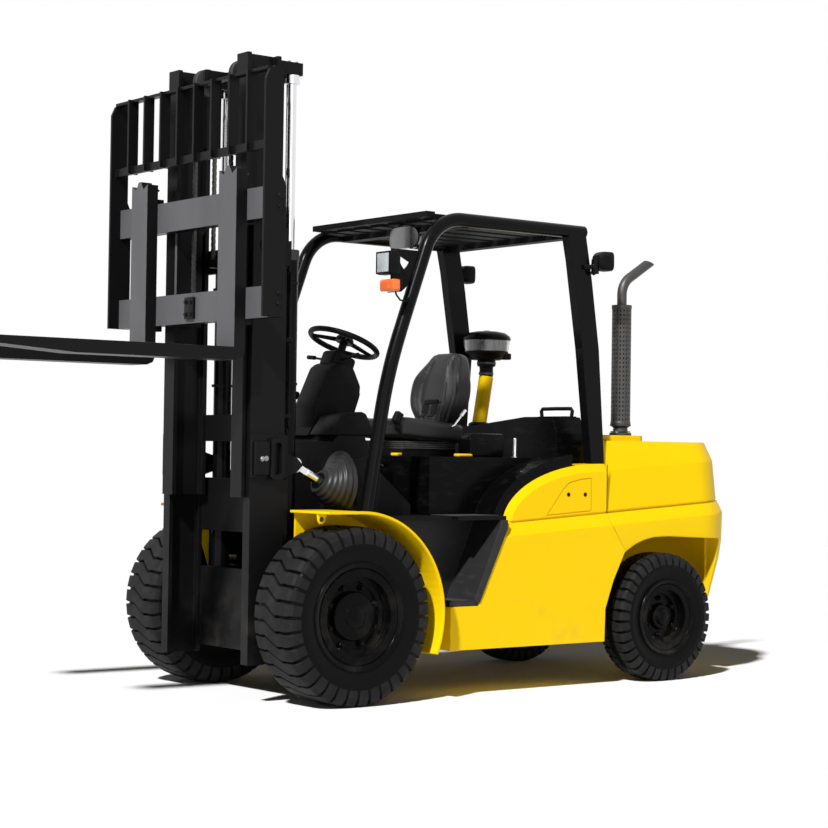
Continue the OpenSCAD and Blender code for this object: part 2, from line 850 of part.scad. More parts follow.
// One side of the overhead guard
module guard_side() {
    foot_sink = 30;
    rail_rear_x = -1560;
    leg_t = 56;
    leg_knee_z = 1740;
    leg_rear_x = -1656;
    leg_front_x = -1540;
    leg_foot_y = 598;
    overlap = 3;
    low_way = [-sin(pillar_low_lean), 0, cos(pillar_low_lean)];
    high_way = [-sin(pillar_high_lean), 0, cos(pillar_high_lean)];
    bar_between([pillar_foot_x, guard_y, deck_z] - foot_sink * low_way,
        [pillar_bow_low[0], guard_y, pillar_bow_low[1]] + overlap * low_way, guard_tube_r);
    guard_arc(pillar_bow_mid, pillar_bow_r, pillar_low_lean, pillar_high_lean - pillar_low_lean, 360);
    bar_between([pillar_bow_high[0], guard_y, pillar_bow_high[1]] - overlap * high_way,
        [guard_bend_x, guard_y, guard_bend_z] + overlap * high_way, guard_tube_r);
    guard_arc(guard_bend_mid, guard_bend_r, pillar_high_lean, 90 - pillar_high_lean, 64);
    bar_between([rail_rear_x, guard_y, guard_rail_z], [guard_bend_mid[0] + overlap, guard_y, guard_rail_z], guard_tube_r);
    side_prism([
        [-1430, guard_rail_z],
        [rail_rear_x + 8, guard_rail_z],
        [-1600, 2100],
        [leg_rear_x, leg_knee_z],
        [leg_front_x, leg_knee_z],
        [-1464, 2196]], guard_leg_y1 - leg_t, guard_leg_y1);
    hull() {
        box([leg_rear_x, guard_leg_y1 - leg_t, leg_knee_z], [leg_front_x, guard_leg_y1, leg_knee_z + tiny]);
        box([seam_x + 4, leg_foot_y - leg_t, panel_top_z], [-1568, leg_foot_y, panel_top_z + tiny]);
    }
}

module guard_sides() {
    color(black) truck() difference() {
        both_sides() guard_side();
        front_wheel_room();
        box([-far, -far, 0], [far, far, deck_z]);
    }
}

module guard_roof() {
    half_w = guard_half_w - 2 * guard_tube_r - guard_swell - seat_gap;
    front_x = -545;
    front_w = 55;
    cross_x = guard_bend_mid[0] - 5;
    rear_x0 = -1540;
    cross_w = 70;
    cross_h = 26;
    slat_count = 7;
    slat_w = 90;
    slat_z1 = guard_top_z - 12;
    pitch = (2 * half_w - slat_w) / (slat_count - 1);
    color(black) truck() {
        box([front_x - front_w, -half_w, slat_z1 - 18], [front_x, half_w, slat_z1 + 10]);
        for (x = [cross_x - cross_w, rear_x0])
            box([x, -half_w, roof_slat_z0 - cross_h], [x + cross_w, half_w, slat_z1 + 2]);
        for (i = [0:slat_count - 1])
            translate([rear_x0 + cross_w - 1, -half_w + i * pitch, roof_slat_z0])
                cube([front_x - rear_x0 - front_w - cross_w + 2, slat_w, slat_z1 - roof_slat_z0]);
    }
}

module front_lamps() {
    plate_t = 10;
    plate_z1 = 2172;
    plate_z0 = 2004;
    lamp_x0 = -310;
    lamp_x1 = -250;
    tube_front = guard_tube_r / cos(pillar_high_lean) + seat_gap;
    color(dark) truck() both_sides() {
        difference() {
            side_prism([
                [lamp_x0 + 4, plate_z1],
                [pillar_x(plate_z1) + tube_front, plate_z1],
                [pillar_x(plate_z0) + tube_front, plate_z0],
                [lamp_x0 - 64, 1972],
                [lamp_x0 + 4, 1966]], guard_y - plate_t / 2, guard_y + plate_t / 2);
            side_prism([[lamp_x0 - 46, 2140], [lamp_x0 - 106, 2112], [lamp_x0 - 73, 2073], [lamp_x0 - 53, 2096]],
                guard_y - plate_t, guard_y + plate_t);
        }
        box([lamp_x0, guard_y - 43, 2042], [lamp_x1, guard_y + 71, 2155]);
        box([lamp_x0, guard_y - 20, 1960], [lamp_x1, guard_y + 89, 2018]);
    }
}

module rear_lamps() {
    plate_t = 12;
    lamp_y = guard_half_w + plate_t;
    color(dark) truck() both_sides() {
        box([-1640, guard_leg_y1, 2150], [-1530, guard_leg_y1 + plate_t, 2200]);
        box([-1660, guard_leg_y1 + plate_t - 1, 2140], [-1600, lamp_y + 18, 2250]);
        translate([-1600, lamp_y, 2200]) rotate([0, -90, 0]) cylinder(r = 52, h = 100);
    }
}

module roof_mirror() {
    mirror_x = -655;
    mirror_y = 190;
    mirror_z = 2272;
    mirror_t = 40;
    end_r = 55;
    end_y = 65;
    face_r = 400;
    stem_y = 130;
    color(grey) truck() {
        intersection() {
            translate([mirror_x, mirror_y, mirror_z]) rotate([90, 0, 90]) linear_extrude(mirror_t)
                polygon(concat(arc(end_y, 0, end_r, -90, 90, 16), arc(-end_y, 0, end_r, 90, 270, 16)));
            translate([mirror_x + mirror_t - face_r, mirror_y, mirror_z - 2 * end_r])
                cylinder(r = face_r, h = 4 * end_r, $fn = 180);
        }
        box([mirror_x + 4, stem_y, mirror_z], [mirror_x + 14, stem_y + 30, roof_slat_z0]);
    }
}

module exhaust_stack() {
    base_z = counterweight_top_z + stack_foot_h;
    guard_r = 52;
    pipe_r = 26;
    bend_r = 110;
    guard_z1 = 1994;
    bend_z = 2050;
    turn = 58;
    tail_l = 172;
    overlap = 3;
    bend_swell = 0.5;
    color(dark) truck() translate([stack_x, stack_y, 0]) {
        translate([0, 0, base_z]) cylinder(r = 60, h = 40);
        translate([0, 0, base_z + 39]) cylinder(r = guard_r, h = guard_z1 - base_z - 39);
        translate([0, 0, guard_z1 - 1]) cylinder(r = pipe_r, h = bend_z - guard_z1 + overlap);
        translate([-bend_r, 0, bend_z]) rotate([90, 0, 0])
            rotate_extrude(angle = turn, $fn = 64) translate([bend_r, 0]) circle(r = pipe_r + bend_swell);
        translate([-bend_r + bend_r * cos(turn), 0, bend_z + bend_r * sin(turn)]) rotate([0, -turn, 0])
            translate([0, 0, -overlap]) cylinder(r = pipe_r, h = tail_l + overlap);
    }
}

module intake_pipe() {
    pipe_r = 40;
    neck_r = 52;
    color(yellow) truck() difference() {
        union() {
            bar_between([intake_foot_x, intake_y, cover_shelf_z - intake_sink],
                [intake_x, intake_y, intake_neck_z + 1], pipe_r);
            translate([intake_x, intake_y, intake_neck_z]) cylinder(r = neck_r, h = intake_neck_h);
        }
        box([-far, -far, 0], [far, far, cover_shelf_z]);
    }
}

module precleaner_bowl() {
    color(grey) truck() translate([intake_x, intake_y, intake_neck_z + intake_neck_h]) rotate_extrude($fn = 64) polygon([
        [0, 0], [80, 0], [104, 34], [120, 42], [132, 108], [134, 112], [128, 134], [100, 154], [60, 162], [0, 164]]);
}

// Hood and seat

module engine_hood() {
    skirt_y1 = body_half_w - 50;
    color(black) truck() {
        difference() {
            box([hood_rear_x, -hood_half_w, hood_bottom_z], [hood_front_x, hood_half_w, hood_top_z]);
            box([hood_rear_x - 1, hood_t - hood_half_w, 0],
                [hood_front_x - hood_t, hood_half_w - hood_t, hood_top_z - hood_t]);
        }
        both_sides() {
            intersection() {
                side_prism(concat(panel_curve(60, 18), [for (i = [18:-1:0]) panel_curve(move_gap, 18)[i]]),
                    hood_half_w - tiny, skirt_y1);
                box([hood_rear_x, 0, hood_bottom_z], [0, far, far]);
            }
            difference() {
                union() {
                    y_bar(hood_lug_r, hood_hinge_x, hood_hinge_z, 200, 230);
                    box([hood_hinge_x, 200, hood_hinge_z], [hood_rear_x + tiny, 230, hood_hinge_z + hood_lug_r]);
                }
                y_bar(hood_pin_r + run_gap, hood_hinge_x, hood_hinge_z, 0, far);
            }
        }
    }
}

module seat_base() {
    color(dark) truck() box([seat_x0 + 60, -200, hood_top_z], [seat_x1 - 40, 200, hood_top_z + seat_base_h]);
}

module seat_cushion() {
    z0 = hood_top_z + seat_base_h;
    color(rubber) truck() side_prism([
        [seat_x0, z0], [seat_x1 - 20, z0], [seat_x1, z0 + 40], [seat_x1 - 10, z0 + cushion_h + 10],
        [seat_x0 + 100, z0 + cushion_h - 10], [seat_x0, z0 + 60]], -235, 235);
}

module seat_back() {
    z0 = hood_top_z + seat_base_h + 60 + seat_gap;
    color(rubber) truck() side_prism([
        [seat_x0, z0], [seat_x0 + 90, z0 + 0.9 * (cushion_h - 70)], [seat_x0 + 50, z0 + 300],
        [seat_x0 - 10, z0 + 410], [seat_x0 - 90, z0 + 395], [seat_x0 - 70, z0 + 160]], -205, 205);
}

module steering_wheel() {
    rim_t = 14;
    spoke_r = 9;
    hub_r = 45;
    hub_h = 40;
    color(rubber) truck() translate([steer_x, 0, steer_z]) rotate([0, -column_lean, 0]) {
        rotate_extrude($fn = 72) translate([wheel_rim_r - rim_t, 0]) circle(r = rim_t, $fn = 24);
        translate([0, 0, seat_gap]) cylinder(r = hub_r, h = hub_h / 2);
        for (a = [0, 120, 240]) rotate([0, 0, a + 60]) translate([0, 0, 6]) rotate([0, 90, 0])
            cylinder(r = spoke_r - 3.6, h = wheel_rim_r - rim_t);
    }
}

// Mast

module outer_rail() {
    linear_extrude(outer_rail_l) polygon([
        [outer_x0, mast_half_w], [outer_x1, mast_half_w], [outer_x1, outer_flange_y],
        [outer_x1 - flange_t, outer_flange_y], [outer_x1 - flange_t, outer_web_y],
        [outer_x0 + flange_t, outer_web_y], [outer_x0 + flange_t, outer_flange_y], [outer_x0, outer_flange_y]]);
}

// Plate across the back of the outer rails
module outer_cross(z0, z1) {
    box([outer_cross_x, -mast_half_w, z0], [outer_x0 + tiny, mast_half_w, z1]);
}

// Plate that carries a tilt cylinder's eye between two ears
module tilt_clevis() {
    ear_t = 8;
    ear_gap = tilt_eye_w / 2 + 3;
    low_z = tilt_eye_z - 60;
    high_z = tilt_eye_z + 60;
    for (s = [-1, 1])
        side_prism([
            [outer_x0 + tiny, low_z], [outer_x0 + tiny, high_z], [tilt_eye_x, tilt_eye_z + 34],
            [tilt_eye_x - 34, tilt_eye_z], [tilt_eye_x, tilt_eye_z - 34]],
            tilt_y + s * (ear_gap + ear_t / 2) - ear_t / 2, tilt_y + s * (ear_gap + ear_t / 2) + ear_t / 2);
    y_bar(tilt_pin_r, tilt_eye_x, tilt_eye_z, tilt_y - ear_gap - ear_t, tilt_y + ear_gap + ear_t);
    box([outer_x0 - 2, mast_half_w - tiny, low_z], [outer_x1 + 2, mast_half_w + 14, high_z + 80]);
}

module outer_mast() {
    color(black) truck() difference() {
        union() {
            both_sides() {
                translate([0, 0, mast_bottom_z]) outer_rail();
                y_bar(inner_roller_r, inner_cavity_x, outer_top_z - 90, outer_flange_y - 10, outer_web_y + 1);
                side_prism([
                    [outer_x0 + tiny, front_r - 130], [outer_x0 + tiny, front_r + 100],
                    [0, front_r + hanger_r - tiny], [0, front_r - hanger_r + tiny]], hanger_y0, hanger_y0 + hanger_w);
                y_bar(hanger_r, 0, front_r, hanger_y0, hanger_y0 + hanger_w);
                box([outer_cross_x - 110, lift_y - 45, barrel_z0 - 40], [outer_cross_x + tiny, lift_y + 45, barrel_z0]);
                tilt_clevis();
                box([outer_x0 - tiny, chain_y - 22, anchor_z0],
                    [inner_cavity_x - sheave_r + 4, chain_y + 22, anchor_z0 + anchor_h]);
            }
            outer_cross(mast_bottom_z + 34, 610);
            outer_cross(790, 1050);
            outer_cross(anchor_z0 - 20, anchor_z0 + anchor_h + 60);
        }
        both_sides() y_bar(axle_tube_r + run_gap, 0, front_r, 0, far);
    }
}

module lift_barrels() {
    gland_l = 60;
    color(dark) truck() both_sides() translate([lift_x, lift_y, 0]) difference() {
        translate([0, 0, barrel_z0]) cylinder(r = lift_barrel_r, h = barrel_z1 - barrel_z0);
        translate([0, 0, barrel_z0 + 12]) cylinder(r = lift_rod_r + 4, h = barrel_z1 - barrel_z0 - gland_l - 12);
        cylinder(r = lift_rod_r + run_gap, h = far);
    }
}

// Straight run of leaf chain, its edges notched at every link
module chain_run(x, z0, z1) {
    n = max(1, floor((z1 - z0) / chain_pitch));
    step = (z1 - z0) / n;
    right = [for (i = [0:n - 1]) each [
        [chain_w / 2, z0 + i * step], [chain_w / 2, z0 + (i + 0.75) * step],
        [chain_w / 2 - chain_neck, z0 + (i + 0.8) * step], [chain_w / 2 - chain_neck, z0 + (i + 0.95) * step]]];
    left = [for (i = [len(right) - 1:-1:0]) [-right[i][0], right[i][1]]];
    tip = [[chain_w / 2, z1], [-chain_w / 2, z1]];
    translate([x, chain_y, 0]) rotate([90, 0, 90]) linear_extrude(chain_t) polygon(concat(right, tip, left));
}

module rear_chains() {
    color(grey) truck() both_sides()
        chain_run(inner_cavity_x - sheave_r - chain_t, anchor_z0 + anchor_h, sheave_z);
}

module front_chains() {
    color(grey) truck() both_sides()
        chain_run(inner_cavity_x + sheave_r, bar_low_z + bar_h, sheave_z);
}

module inner_rail() {
    linear_extrude(inner_rail_l) polygon([
        [inner_x0, inner_flange_y0], [inner_x0 + flange_t, inner_flange_y0],
        [inner_x0 + flange_t, inner_web_y0], [inner_x1 - flange_t, inner_web_y0],
        [inner_x1 - flange_t, inner_flange_y0], [inner_x1, inner_flange_y0],
        [inner_x1, inner_flange_y1], [inner_x1 - flange_t, inner_flange_y1],
        [inner_x1 - flange_t, inner_web_y1], [inner_x0 + flange_t, inner_web_y1],
        [inner_x0 + flange_t, inner_flange_y1], [inner_x0, inner_flange_y1]]);
}

module inner_mast() {
    roller_w = 38;
    color(black) truck() {
        both_sides() {
            translate([0, 0, inner_z0]) inner_rail();
            y_bar(outer_roller_r, outer_cavity_x, inner_z0 + 90, inner_web_y1 - 1, inner_web_y1 + roller_w);
            box([inner_cross_x, chain_y - sheave_cheek - chain_w / 2 - 16, sheave_z - 25],
                [inner_cavity_x + 20, chain_y - sheave_cheek - chain_w / 2 - 2, sheave_z + 60]);
        }
        box([inner_cross_x, -inner_web_y0 - tiny, inner_plate_z0],
            [inner_x0 + tiny, inner_web_y0 + tiny, inner_plate_z0 + inner_plate_h]);
        box([lift_x - 42, -inner_web_y1, rod_head_z], [inner_x0 + tiny, inner_web_y1, rod_head_z + head_block_h]);
    }
}

module lift_rods() {
    color(chrome) truck() both_sides() translate([lift_x, lift_y, 0]) {
        translate([0, 0, rod_tail_z]) cylinder(r = lift_rod_r, h = rod_head_z - rod_tail_z);
        translate([0, 0, rod_head_z - 42]) cylinder(r = 40, h = 42);
    }
}

module chain_sheaves() {
    half_w = chain_w / 2 + seat_gap;
    pin_r = 16;
    color(grey) truck() both_sides() {
        for (s = [-1, 1])
            y_bar(sheave_flange_r, inner_cavity_x, sheave_z,
                chain_y + s * (half_w + sheave_cheek / 2) - sheave_cheek / 2,
                chain_y + s * (half_w + sheave_cheek / 2) + sheave_cheek / 2);
        y_bar(sheave_r - seat_gap, inner_cavity_x, sheave_z, chain_y - half_w - tiny, chain_y + half_w + tiny);
        intersection() {
            y_bar(sheave_r + chain_t, inner_cavity_x, sheave_z, chain_y - half_w - tiny, chain_y + half_w + tiny);
            box([0, 0, sheave_z], [far, far, far]);
        }
        y_bar(pin_r, inner_cavity_x, sheave_z, chain_y - chain_w / 2 - sheave_cheek - 2, chain_y);
    }
}

// Carriage and forks

module carriage_frame() {
    roller_y1 = inner_web_y0 - 4;
    roller_zs = [bar_low_z + 90, bar_high_z + 50];
    color(black) truck() {
        for (z = [bar_low_z, bar_high_z])
            box([bar_x0, -bar_half_w, z], [bar_x1, bar_half_w, z + bar_h]);
        both_sides() {
            box([inner_cavity_x - 40, plate_y0, bar_low_z], [bar_x0 + tiny, plate_y1, bar_high_z + bar_h]);
            for (z = roller_zs) y_bar(inner_roller_r, inner_cavity_x, z, plate_y1 - 1, roller_y1);
            box([inner_cavity_x + sheave_r - 6, chain_y - 16, bar_low_z + bar_h - 50],
                [bar_x0 + tiny, chain_y + 16, bar_low_z + bar_h]);
        }
    }
}

module load_backrest() {
    slat_count = 8;
    slat_deep = 55;
    rail_h = 40;
    half_w = bar_half_w + backrest_t;
    inner_half_w = bar_half_w + tiny;
    pitch = 2 * bar_half_w / (slat_count + 1);
    front_x = backrest_x0 + backrest_deep;
    color(black) truck() {
        both_sides() side_prism([
            [backrest_x0, bar_low_z], [front_x, bar_low_z], [front_x, backrest_top_z - 60],
            [front_x - 20, backrest_top_z - 16], [front_x - 50, backrest_top_z], [backrest_x0 + 20, backrest_top_z],
            [backrest_x0 + 20, bar_high_z + bar_h + 40], [backrest_x0, bar_high_z + bar_h]], bar_half_w, half_w);
        box([front_x - 40, -inner_half_w, backrest_rail_z], [front_x - 25, inner_half_w, backrest_rail_z + rail_h]);
        box([front_x - 60, -inner_half_w, backrest_top_z - backrest_t], [front_x - 20, inner_half_w, backrest_top_z]);
        for (i = [1:slat_count])
            translate([front_x - slat_deep - 5, -bar_half_w + i * pitch - backrest_t / 2, backrest_rail_z])
                cube([slat_deep, backrest_t, backrest_top_z - backrest_rail_z - tiny]);
    }
}

module fork(side) {
    hook_d = 40;
    hook_h = 25;
    tip_t = 14;
    taper_l = 700;
    heel_r = 45;
    y = fork_spread / 2;
    color(black) truck() on_side(side) {
        difference() {
            union() {
                box([bar_x1, y - fork_w / 2, fork_bottom_z + heel_r], [fork_x1, y + fork_w / 2, shank_top_z]);
                side_prism([
                    [bar_x1, fork_top_z], [bar_x1, fork_bottom_z + heel_r],
                    [bar_x1 + heel_r * 0.3, fork_bottom_z + heel_r * 0.3],
                    [bar_x1 + heel_r, fork_bottom_z], [fork_tip_x - taper_l, fork_bottom_z],
                    [fork_tip_x, fork_top_z - tip_t], [fork_tip_x, fork_top_z]], y - fork_w / 2, y + fork_w / 2);
            }
            translate([0, y, shank_top_z - 60]) for (s = [-1, 1])
                rotate([s * 30, 0, 0]) translate([0, s > 0 ? 40 : -far - 40, 0]) cube([far, far, far]);
        }
        for (z = [bar_high_z + bar_h, bar_low_z - hook_h])
            box([bar_x1 - hook_d, y - fork_w / 2 + 10, z], [bar_x1 + tiny, y + fork_w / 2 - 10, z + hook_h]);
    }
}

module fork_left() {
    fork(1);
}

module fork_right() {
    fork(-1);
}

// Tilt cylinders

// Places a piece on a tilt cylinder's line, z running from its base pin to its eye
module on_tilt_line() {
    translate([tilt_base_x, tilt_y, tilt_base_z]) rotate([0, 90 - tilt_angle, 0]) children();
}

module tilt_barrels() {
    eye_r = 34;
    eye_w = 50;
    gland_l = 50;
    color(dark) truck() both_sides() difference() {
        union() {
            on_tilt_line() translate([0, 0, 20]) cylinder(r = tilt_barrel_r, h = tilt_barrel_l - 20);
            y_bar(eye_r, tilt_base_x, tilt_base_z, tilt_y - eye_w / 2, tilt_y + eye_w / 2);
        }
        on_tilt_line() translate([0, 0, 60]) cylinder(r = tilt_rod_r + 4, h = tilt_barrel_l - gland_l - 60);
        on_tilt_line() translate([0, 0, 60]) cylinder(r = tilt_rod_r + run_gap, h = far);
        y_bar(tilt_base_pin_r + run_gap, tilt_base_x, tilt_base_z, 0, far);
    }
}

module tilt_boots() {
    folds = 6;
    collar_r = 62;
    mouth_r = 118;
    boot_l = 150;
    fold_depth = 10;
    step = boot_l / folds;
    top = tilt_barrel_l - 6;
    outline = [for (i = [0:folds - 1])
        let (r = mouth_r + (collar_r - mouth_r) * i / folds)
        each [[r - fold_depth, top - boot_l + i * step], [r, top - boot_l + (i + 0.5) * step]]];
    color(grey) truck() both_sides() difference() {
        on_tilt_line() rotate_extrude($fn = 64) polygon(concat(
            [[tilt_barrel_r + seat_gap, top - boot_l]], outline,
            [[collar_r - fold_depth, top], [tilt_barrel_r + seat_gap, top]]));
        box([-far, 0, 0], [firewall_x + seat_gap, far, far]);
    }
}

module tilt_rods() {
    rod_tail = 100;
    overlap = 2;
    neck_h = 1.4 * tilt_rod_r;
    neck_w = tilt_eye_w - 4;
    neck_sink = 10;
    color(chrome) truck() both_sides() difference() {
        union() {
            on_tilt_line() translate([0, 0, tilt_len - tilt_barrel_l + rod_tail])
                cylinder(r = tilt_rod_r, h = tilt_barrel_l - rod_tail - tilt_neck_l);
            on_tilt_line() translate([-neck_h / 2, -neck_w / 2, tilt_len - tilt_neck_l - overlap])
                cube([neck_h, neck_w, tilt_neck_l + overlap - tilt_eye_r + neck_sink]);
            y_bar(tilt_eye_r, tilt_eye_x, tilt_eye_z, tilt_y - tilt_eye_w / 2, tilt_y + tilt_eye_w / 2);
        }
        y_bar(tilt_pin_r + tilt_eye_gap, tilt_eye_x, tilt_eye_z, 0, far);
    }
}

// Wheels

module knuckle(side) {
    block_r = 44;
    block_h = 2 * (102 - 40) - 4;
    pin_l = 204;
    color(dark) truck() on_side(side) {
        translate([rear_x, kingpin_y, rear_r - block_h / 2]) cylinder(r = block_r, h = block_h);
        translate([rear_x, kingpin_y, rear_r - pin_l / 2]) cylinder(r = kingpin_d / 2, h = pin_l);
        y_bar(rear_spindle_d / 2, rear_x, rear_r, kingpin_y, rear_y + 40);
    }
}

module knuckle_left() {
    knuckle(1);
}

module knuckle_right() {
    knuckle(-1);
}

module front_rim(side) {
    seat_r = front_seat_d / 2;
    half_w = front_tyre_w / 2 - 30;
    flange_h = 22;
    rim_t = 14;
    disc_y0 = 40;
    disc_y1 = 66;
    hub_r = 116;
    hub_y1 = 96;
    bore_r = spindle_r + run_gap;
    color(rubber) truck() on_side(side) y_turned(0, front_y, front_r) polygon([
        [bore_r, -10], [bore_r + 60, -10], [bore_r + 60, disc_y0],
        [seat_r - rim_t, disc_y0], [seat_r - rim_t, -half_w - 12],
        [seat_r + flange_h, -half_w - 12], [seat_r + flange_h, -half_w], [seat_r, -half_w], [seat_r, half_w],
        [seat_r + flange_h, half_w], [seat_r + flange_h, half_w + 12], [seat_r - rim_t, half_w + 12],
        [seat_r - rim_t, disc_y1 + 10], [seat_r - 40, disc_y1],
        [hub_r, disc_y1], [hub_r, hub_y1 - 6], [hub_r - 6, hub_y1], [bore_r, hub_y1]]);
}

module front_rim_left() {
    front_rim(1);
}

module front_rim_right() {
    front_rim(-1);
}

// A tyre's section, from its seat out to its lugs' tips
function tyre_section(seat_r, tip_r, w, rim_w, flange_h) = [
    [seat_r, -rim_w / 2], [seat_r + flange_h + 4, -rim_w / 2], [seat_r + (tip_r - seat_r) * 0.5, -w / 2],
    [tip_r - 40, -w / 2 + 4], [tip_r - 8, -w / 2 + 26], [tip_r, -w / 2 + 60],
    [tip_r, w / 2 - 60], [tip_r - 8, w / 2 - 26], [tip_r - 40, w / 2 - 4],
    [seat_r + (tip_r - seat_r) * 0.5, w / 2], [seat_r + flange_h + 4, rim_w / 2], [seat_r, rim_w / 2]];

module front_tyre(side) {
    color(rubber) truck() on_side(side) y_turned(0, front_y, front_r)
        polygon(tyre_section(front_seat_d / 2, front_r, front_tyre_w, front_tyre_w - 60, 22));
}

module front_tyre_left() {
    front_tyre(1);
}

module front_tyre_right() {
    front_tyre(-1);
}

module rear_rim(side) {
    seat_r = rear_seat_d / 2;
    half_w = rear_tyre_w / 2 - 20;
    flange_h = 18;
    rim_t = 12;
    disc_y0 = 8;
    disc_y1 = 26;
    hub_r = 70;
    hub_y1 = 52;
    bore_r = rear_spindle_d / 2 + run_gap;
    color(rubber) truck() on_side(side) y_turned(rear_x, rear_y, rear_r) polygon([
        [bore_r, -30], [bore_r + 40, -30], [bore_r + 40, disc_y0],
        [seat_r - rim_t, disc_y0], [seat_r - rim_t, -half_w - 10],
        [seat_r + flange_h, -half_w - 10], [seat_r + flange_h, -half_w], [seat_r, -half_w], [seat_r, half_w],
        [seat_r + flange_h, half_w], [seat_r + flange_h, half_w + 10], [seat_r - rim_t, half_w + 10],
        [seat_r - rim_t, disc_y1 + 8], [seat_r - 30, disc_y1],
        [hub_r, disc_y1], [hub_r - 8, hub_y1], [bore_r, hub_y1]]);
}

module rear_rim_left() {
    rear_rim(1);
}

module rear_rim_right() {
    rear_rim(-1);
}

module rear_tyre(side) {
    color(rubber) truck() on_side(side) y_turned(rear_x, rear_y, rear_r)
        polygon(tyre_section(rear_seat_d / 2, rear_r, rear_tyre_w, rear_tyre_w - 40, 18));
}

module rear_tyre_left() {
    rear_tyre(1);
}

module rear_tyre_right() {
    rear_tyre(-1);
}

frame();
front_axle();
engine_block();
steer_axle();
counterweight();
side_panel_left();
side_panel_right();
steps();
deck();
fenders();
cowl();
steering_column();
radiator_cover();
guard_sides();
guard_roof();
front_lamps();
rear_lamps();
roof_mirror();
exhaust_stack();
intake_pipe();
precleaner_bowl();
engine_hood();
seat_base();
seat_cushion();
seat_back();
steering_wheel();
outer_mast();
lift_barrels();
rear_chains();
inner_mast();
lift_rods();
chain_sheaves();
carriage_frame();
load_backrest();
fork_left();
fork_right();
front_chains();
tilt_barrels();
tilt_boots();
tilt_rods();
knuckle_left();
knuckle_right();
front_rim_left();
front_rim_right();
front_tyre_left();
front_tyre_right();
rear_rim_left();
rear_rim_right();
rear_tyre_left();
rear_tyre_right();
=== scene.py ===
"""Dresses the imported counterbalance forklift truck: finishes, tyres, chains, seat, lamps and fittings.

Sizes in the classes are millimetres from the front axle's middle at ground level, with x forward,
y to the driver's left and z up. The function at() turns them into metres in the row frame.
"""

import json
import logging
import math
from dataclasses import dataclass
from enum import Enum

import bmesh
import bpy
from mathutils import Matrix, Vector


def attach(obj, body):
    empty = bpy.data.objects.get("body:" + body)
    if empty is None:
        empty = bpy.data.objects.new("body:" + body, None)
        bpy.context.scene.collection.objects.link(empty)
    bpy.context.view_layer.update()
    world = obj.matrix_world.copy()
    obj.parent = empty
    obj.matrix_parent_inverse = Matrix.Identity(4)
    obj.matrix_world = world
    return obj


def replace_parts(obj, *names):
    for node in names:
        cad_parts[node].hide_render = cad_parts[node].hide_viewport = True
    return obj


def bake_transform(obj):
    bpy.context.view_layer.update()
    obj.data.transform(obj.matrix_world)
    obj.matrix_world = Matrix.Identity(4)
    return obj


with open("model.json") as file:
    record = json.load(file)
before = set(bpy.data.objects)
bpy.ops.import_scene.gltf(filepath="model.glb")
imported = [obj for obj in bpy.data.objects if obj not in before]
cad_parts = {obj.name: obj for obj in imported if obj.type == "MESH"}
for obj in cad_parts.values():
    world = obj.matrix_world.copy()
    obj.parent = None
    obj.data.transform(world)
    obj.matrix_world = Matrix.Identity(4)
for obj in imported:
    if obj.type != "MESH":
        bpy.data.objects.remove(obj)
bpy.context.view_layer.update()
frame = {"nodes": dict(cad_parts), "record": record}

log = logging.getLogger("truck")
PHOTO_PIXELS = 828
AXLE_X = next(
    j["pos_m"][0] for j in frame["record"]["behaviour"]["joints"] if j["name"] == "front_left_spin"
)
Colour = tuple[float, float, float]
Point = tuple[float, float, float]
Flat = tuple[float, float]
Station = tuple[float, float, float, float, float]
BOTH_SIDES = ((1, "left"), (-1, "right"))
FORWARD, BACK = Vector((1, 0, 0)), Vector((-1, 0, 0))
LEFT, UP = Vector((0, 1, 0)), Vector((0, 0, 1))


class Body(str, Enum):
    """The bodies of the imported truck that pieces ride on."""

    CHASSIS = "chassis"
    HOOD = "hood"
    WHEEL = "steering_wheel"
    MAST = "mast"
    INNER = "inner_stage"
    CARRIAGE = "carriage"
    BARREL = "tilt_barrel"
    FRONT_LEFT = "front_wheel_left"
    FRONT_RIGHT = "front_wheel_right"
    REAR_LEFT = "rear_wheel_left"
    REAR_RIGHT = "rear_wheel_right"


class Axis(Enum):
    """The axis that a ring of copies goes round."""

    Y = (0.0, 1.0, 0.0)
    Z = (0.0, 0.0, 1.0)


def at(x: float, y: float, z: float) -> Vector:
    """Point in the row frame, in metres, from millimetres off the front axle."""
    return Vector((AXLE_X + x / 1000, y / 1000, z / 1000))


def cut_corners(low: Flat, high: Flat, cut: Flat) -> list[Flat]:
    """Outline of a rectangle from low to high whose corners are cut off."""
    (x0, z0), (x1, z1), (dx, dz) = low, high, cut
    return [(x0, z0 + dz), (x0 + dx, z0), (x1 - dx, z0), (x1, z0 + dz),
            (x1, z1 - dz), (x1 - dx, z1), (x0 + dx, z1), (x0, z1 - dz)]


def smoothstep(low: float, high: float, value: float) -> float:
    """Share from 0 to 1 as value goes from low to high, with soft ends."""
    t = min(max((value - low) / (high - low), 0.0), 1.0)
    return t * t * (3 - 2 * t)


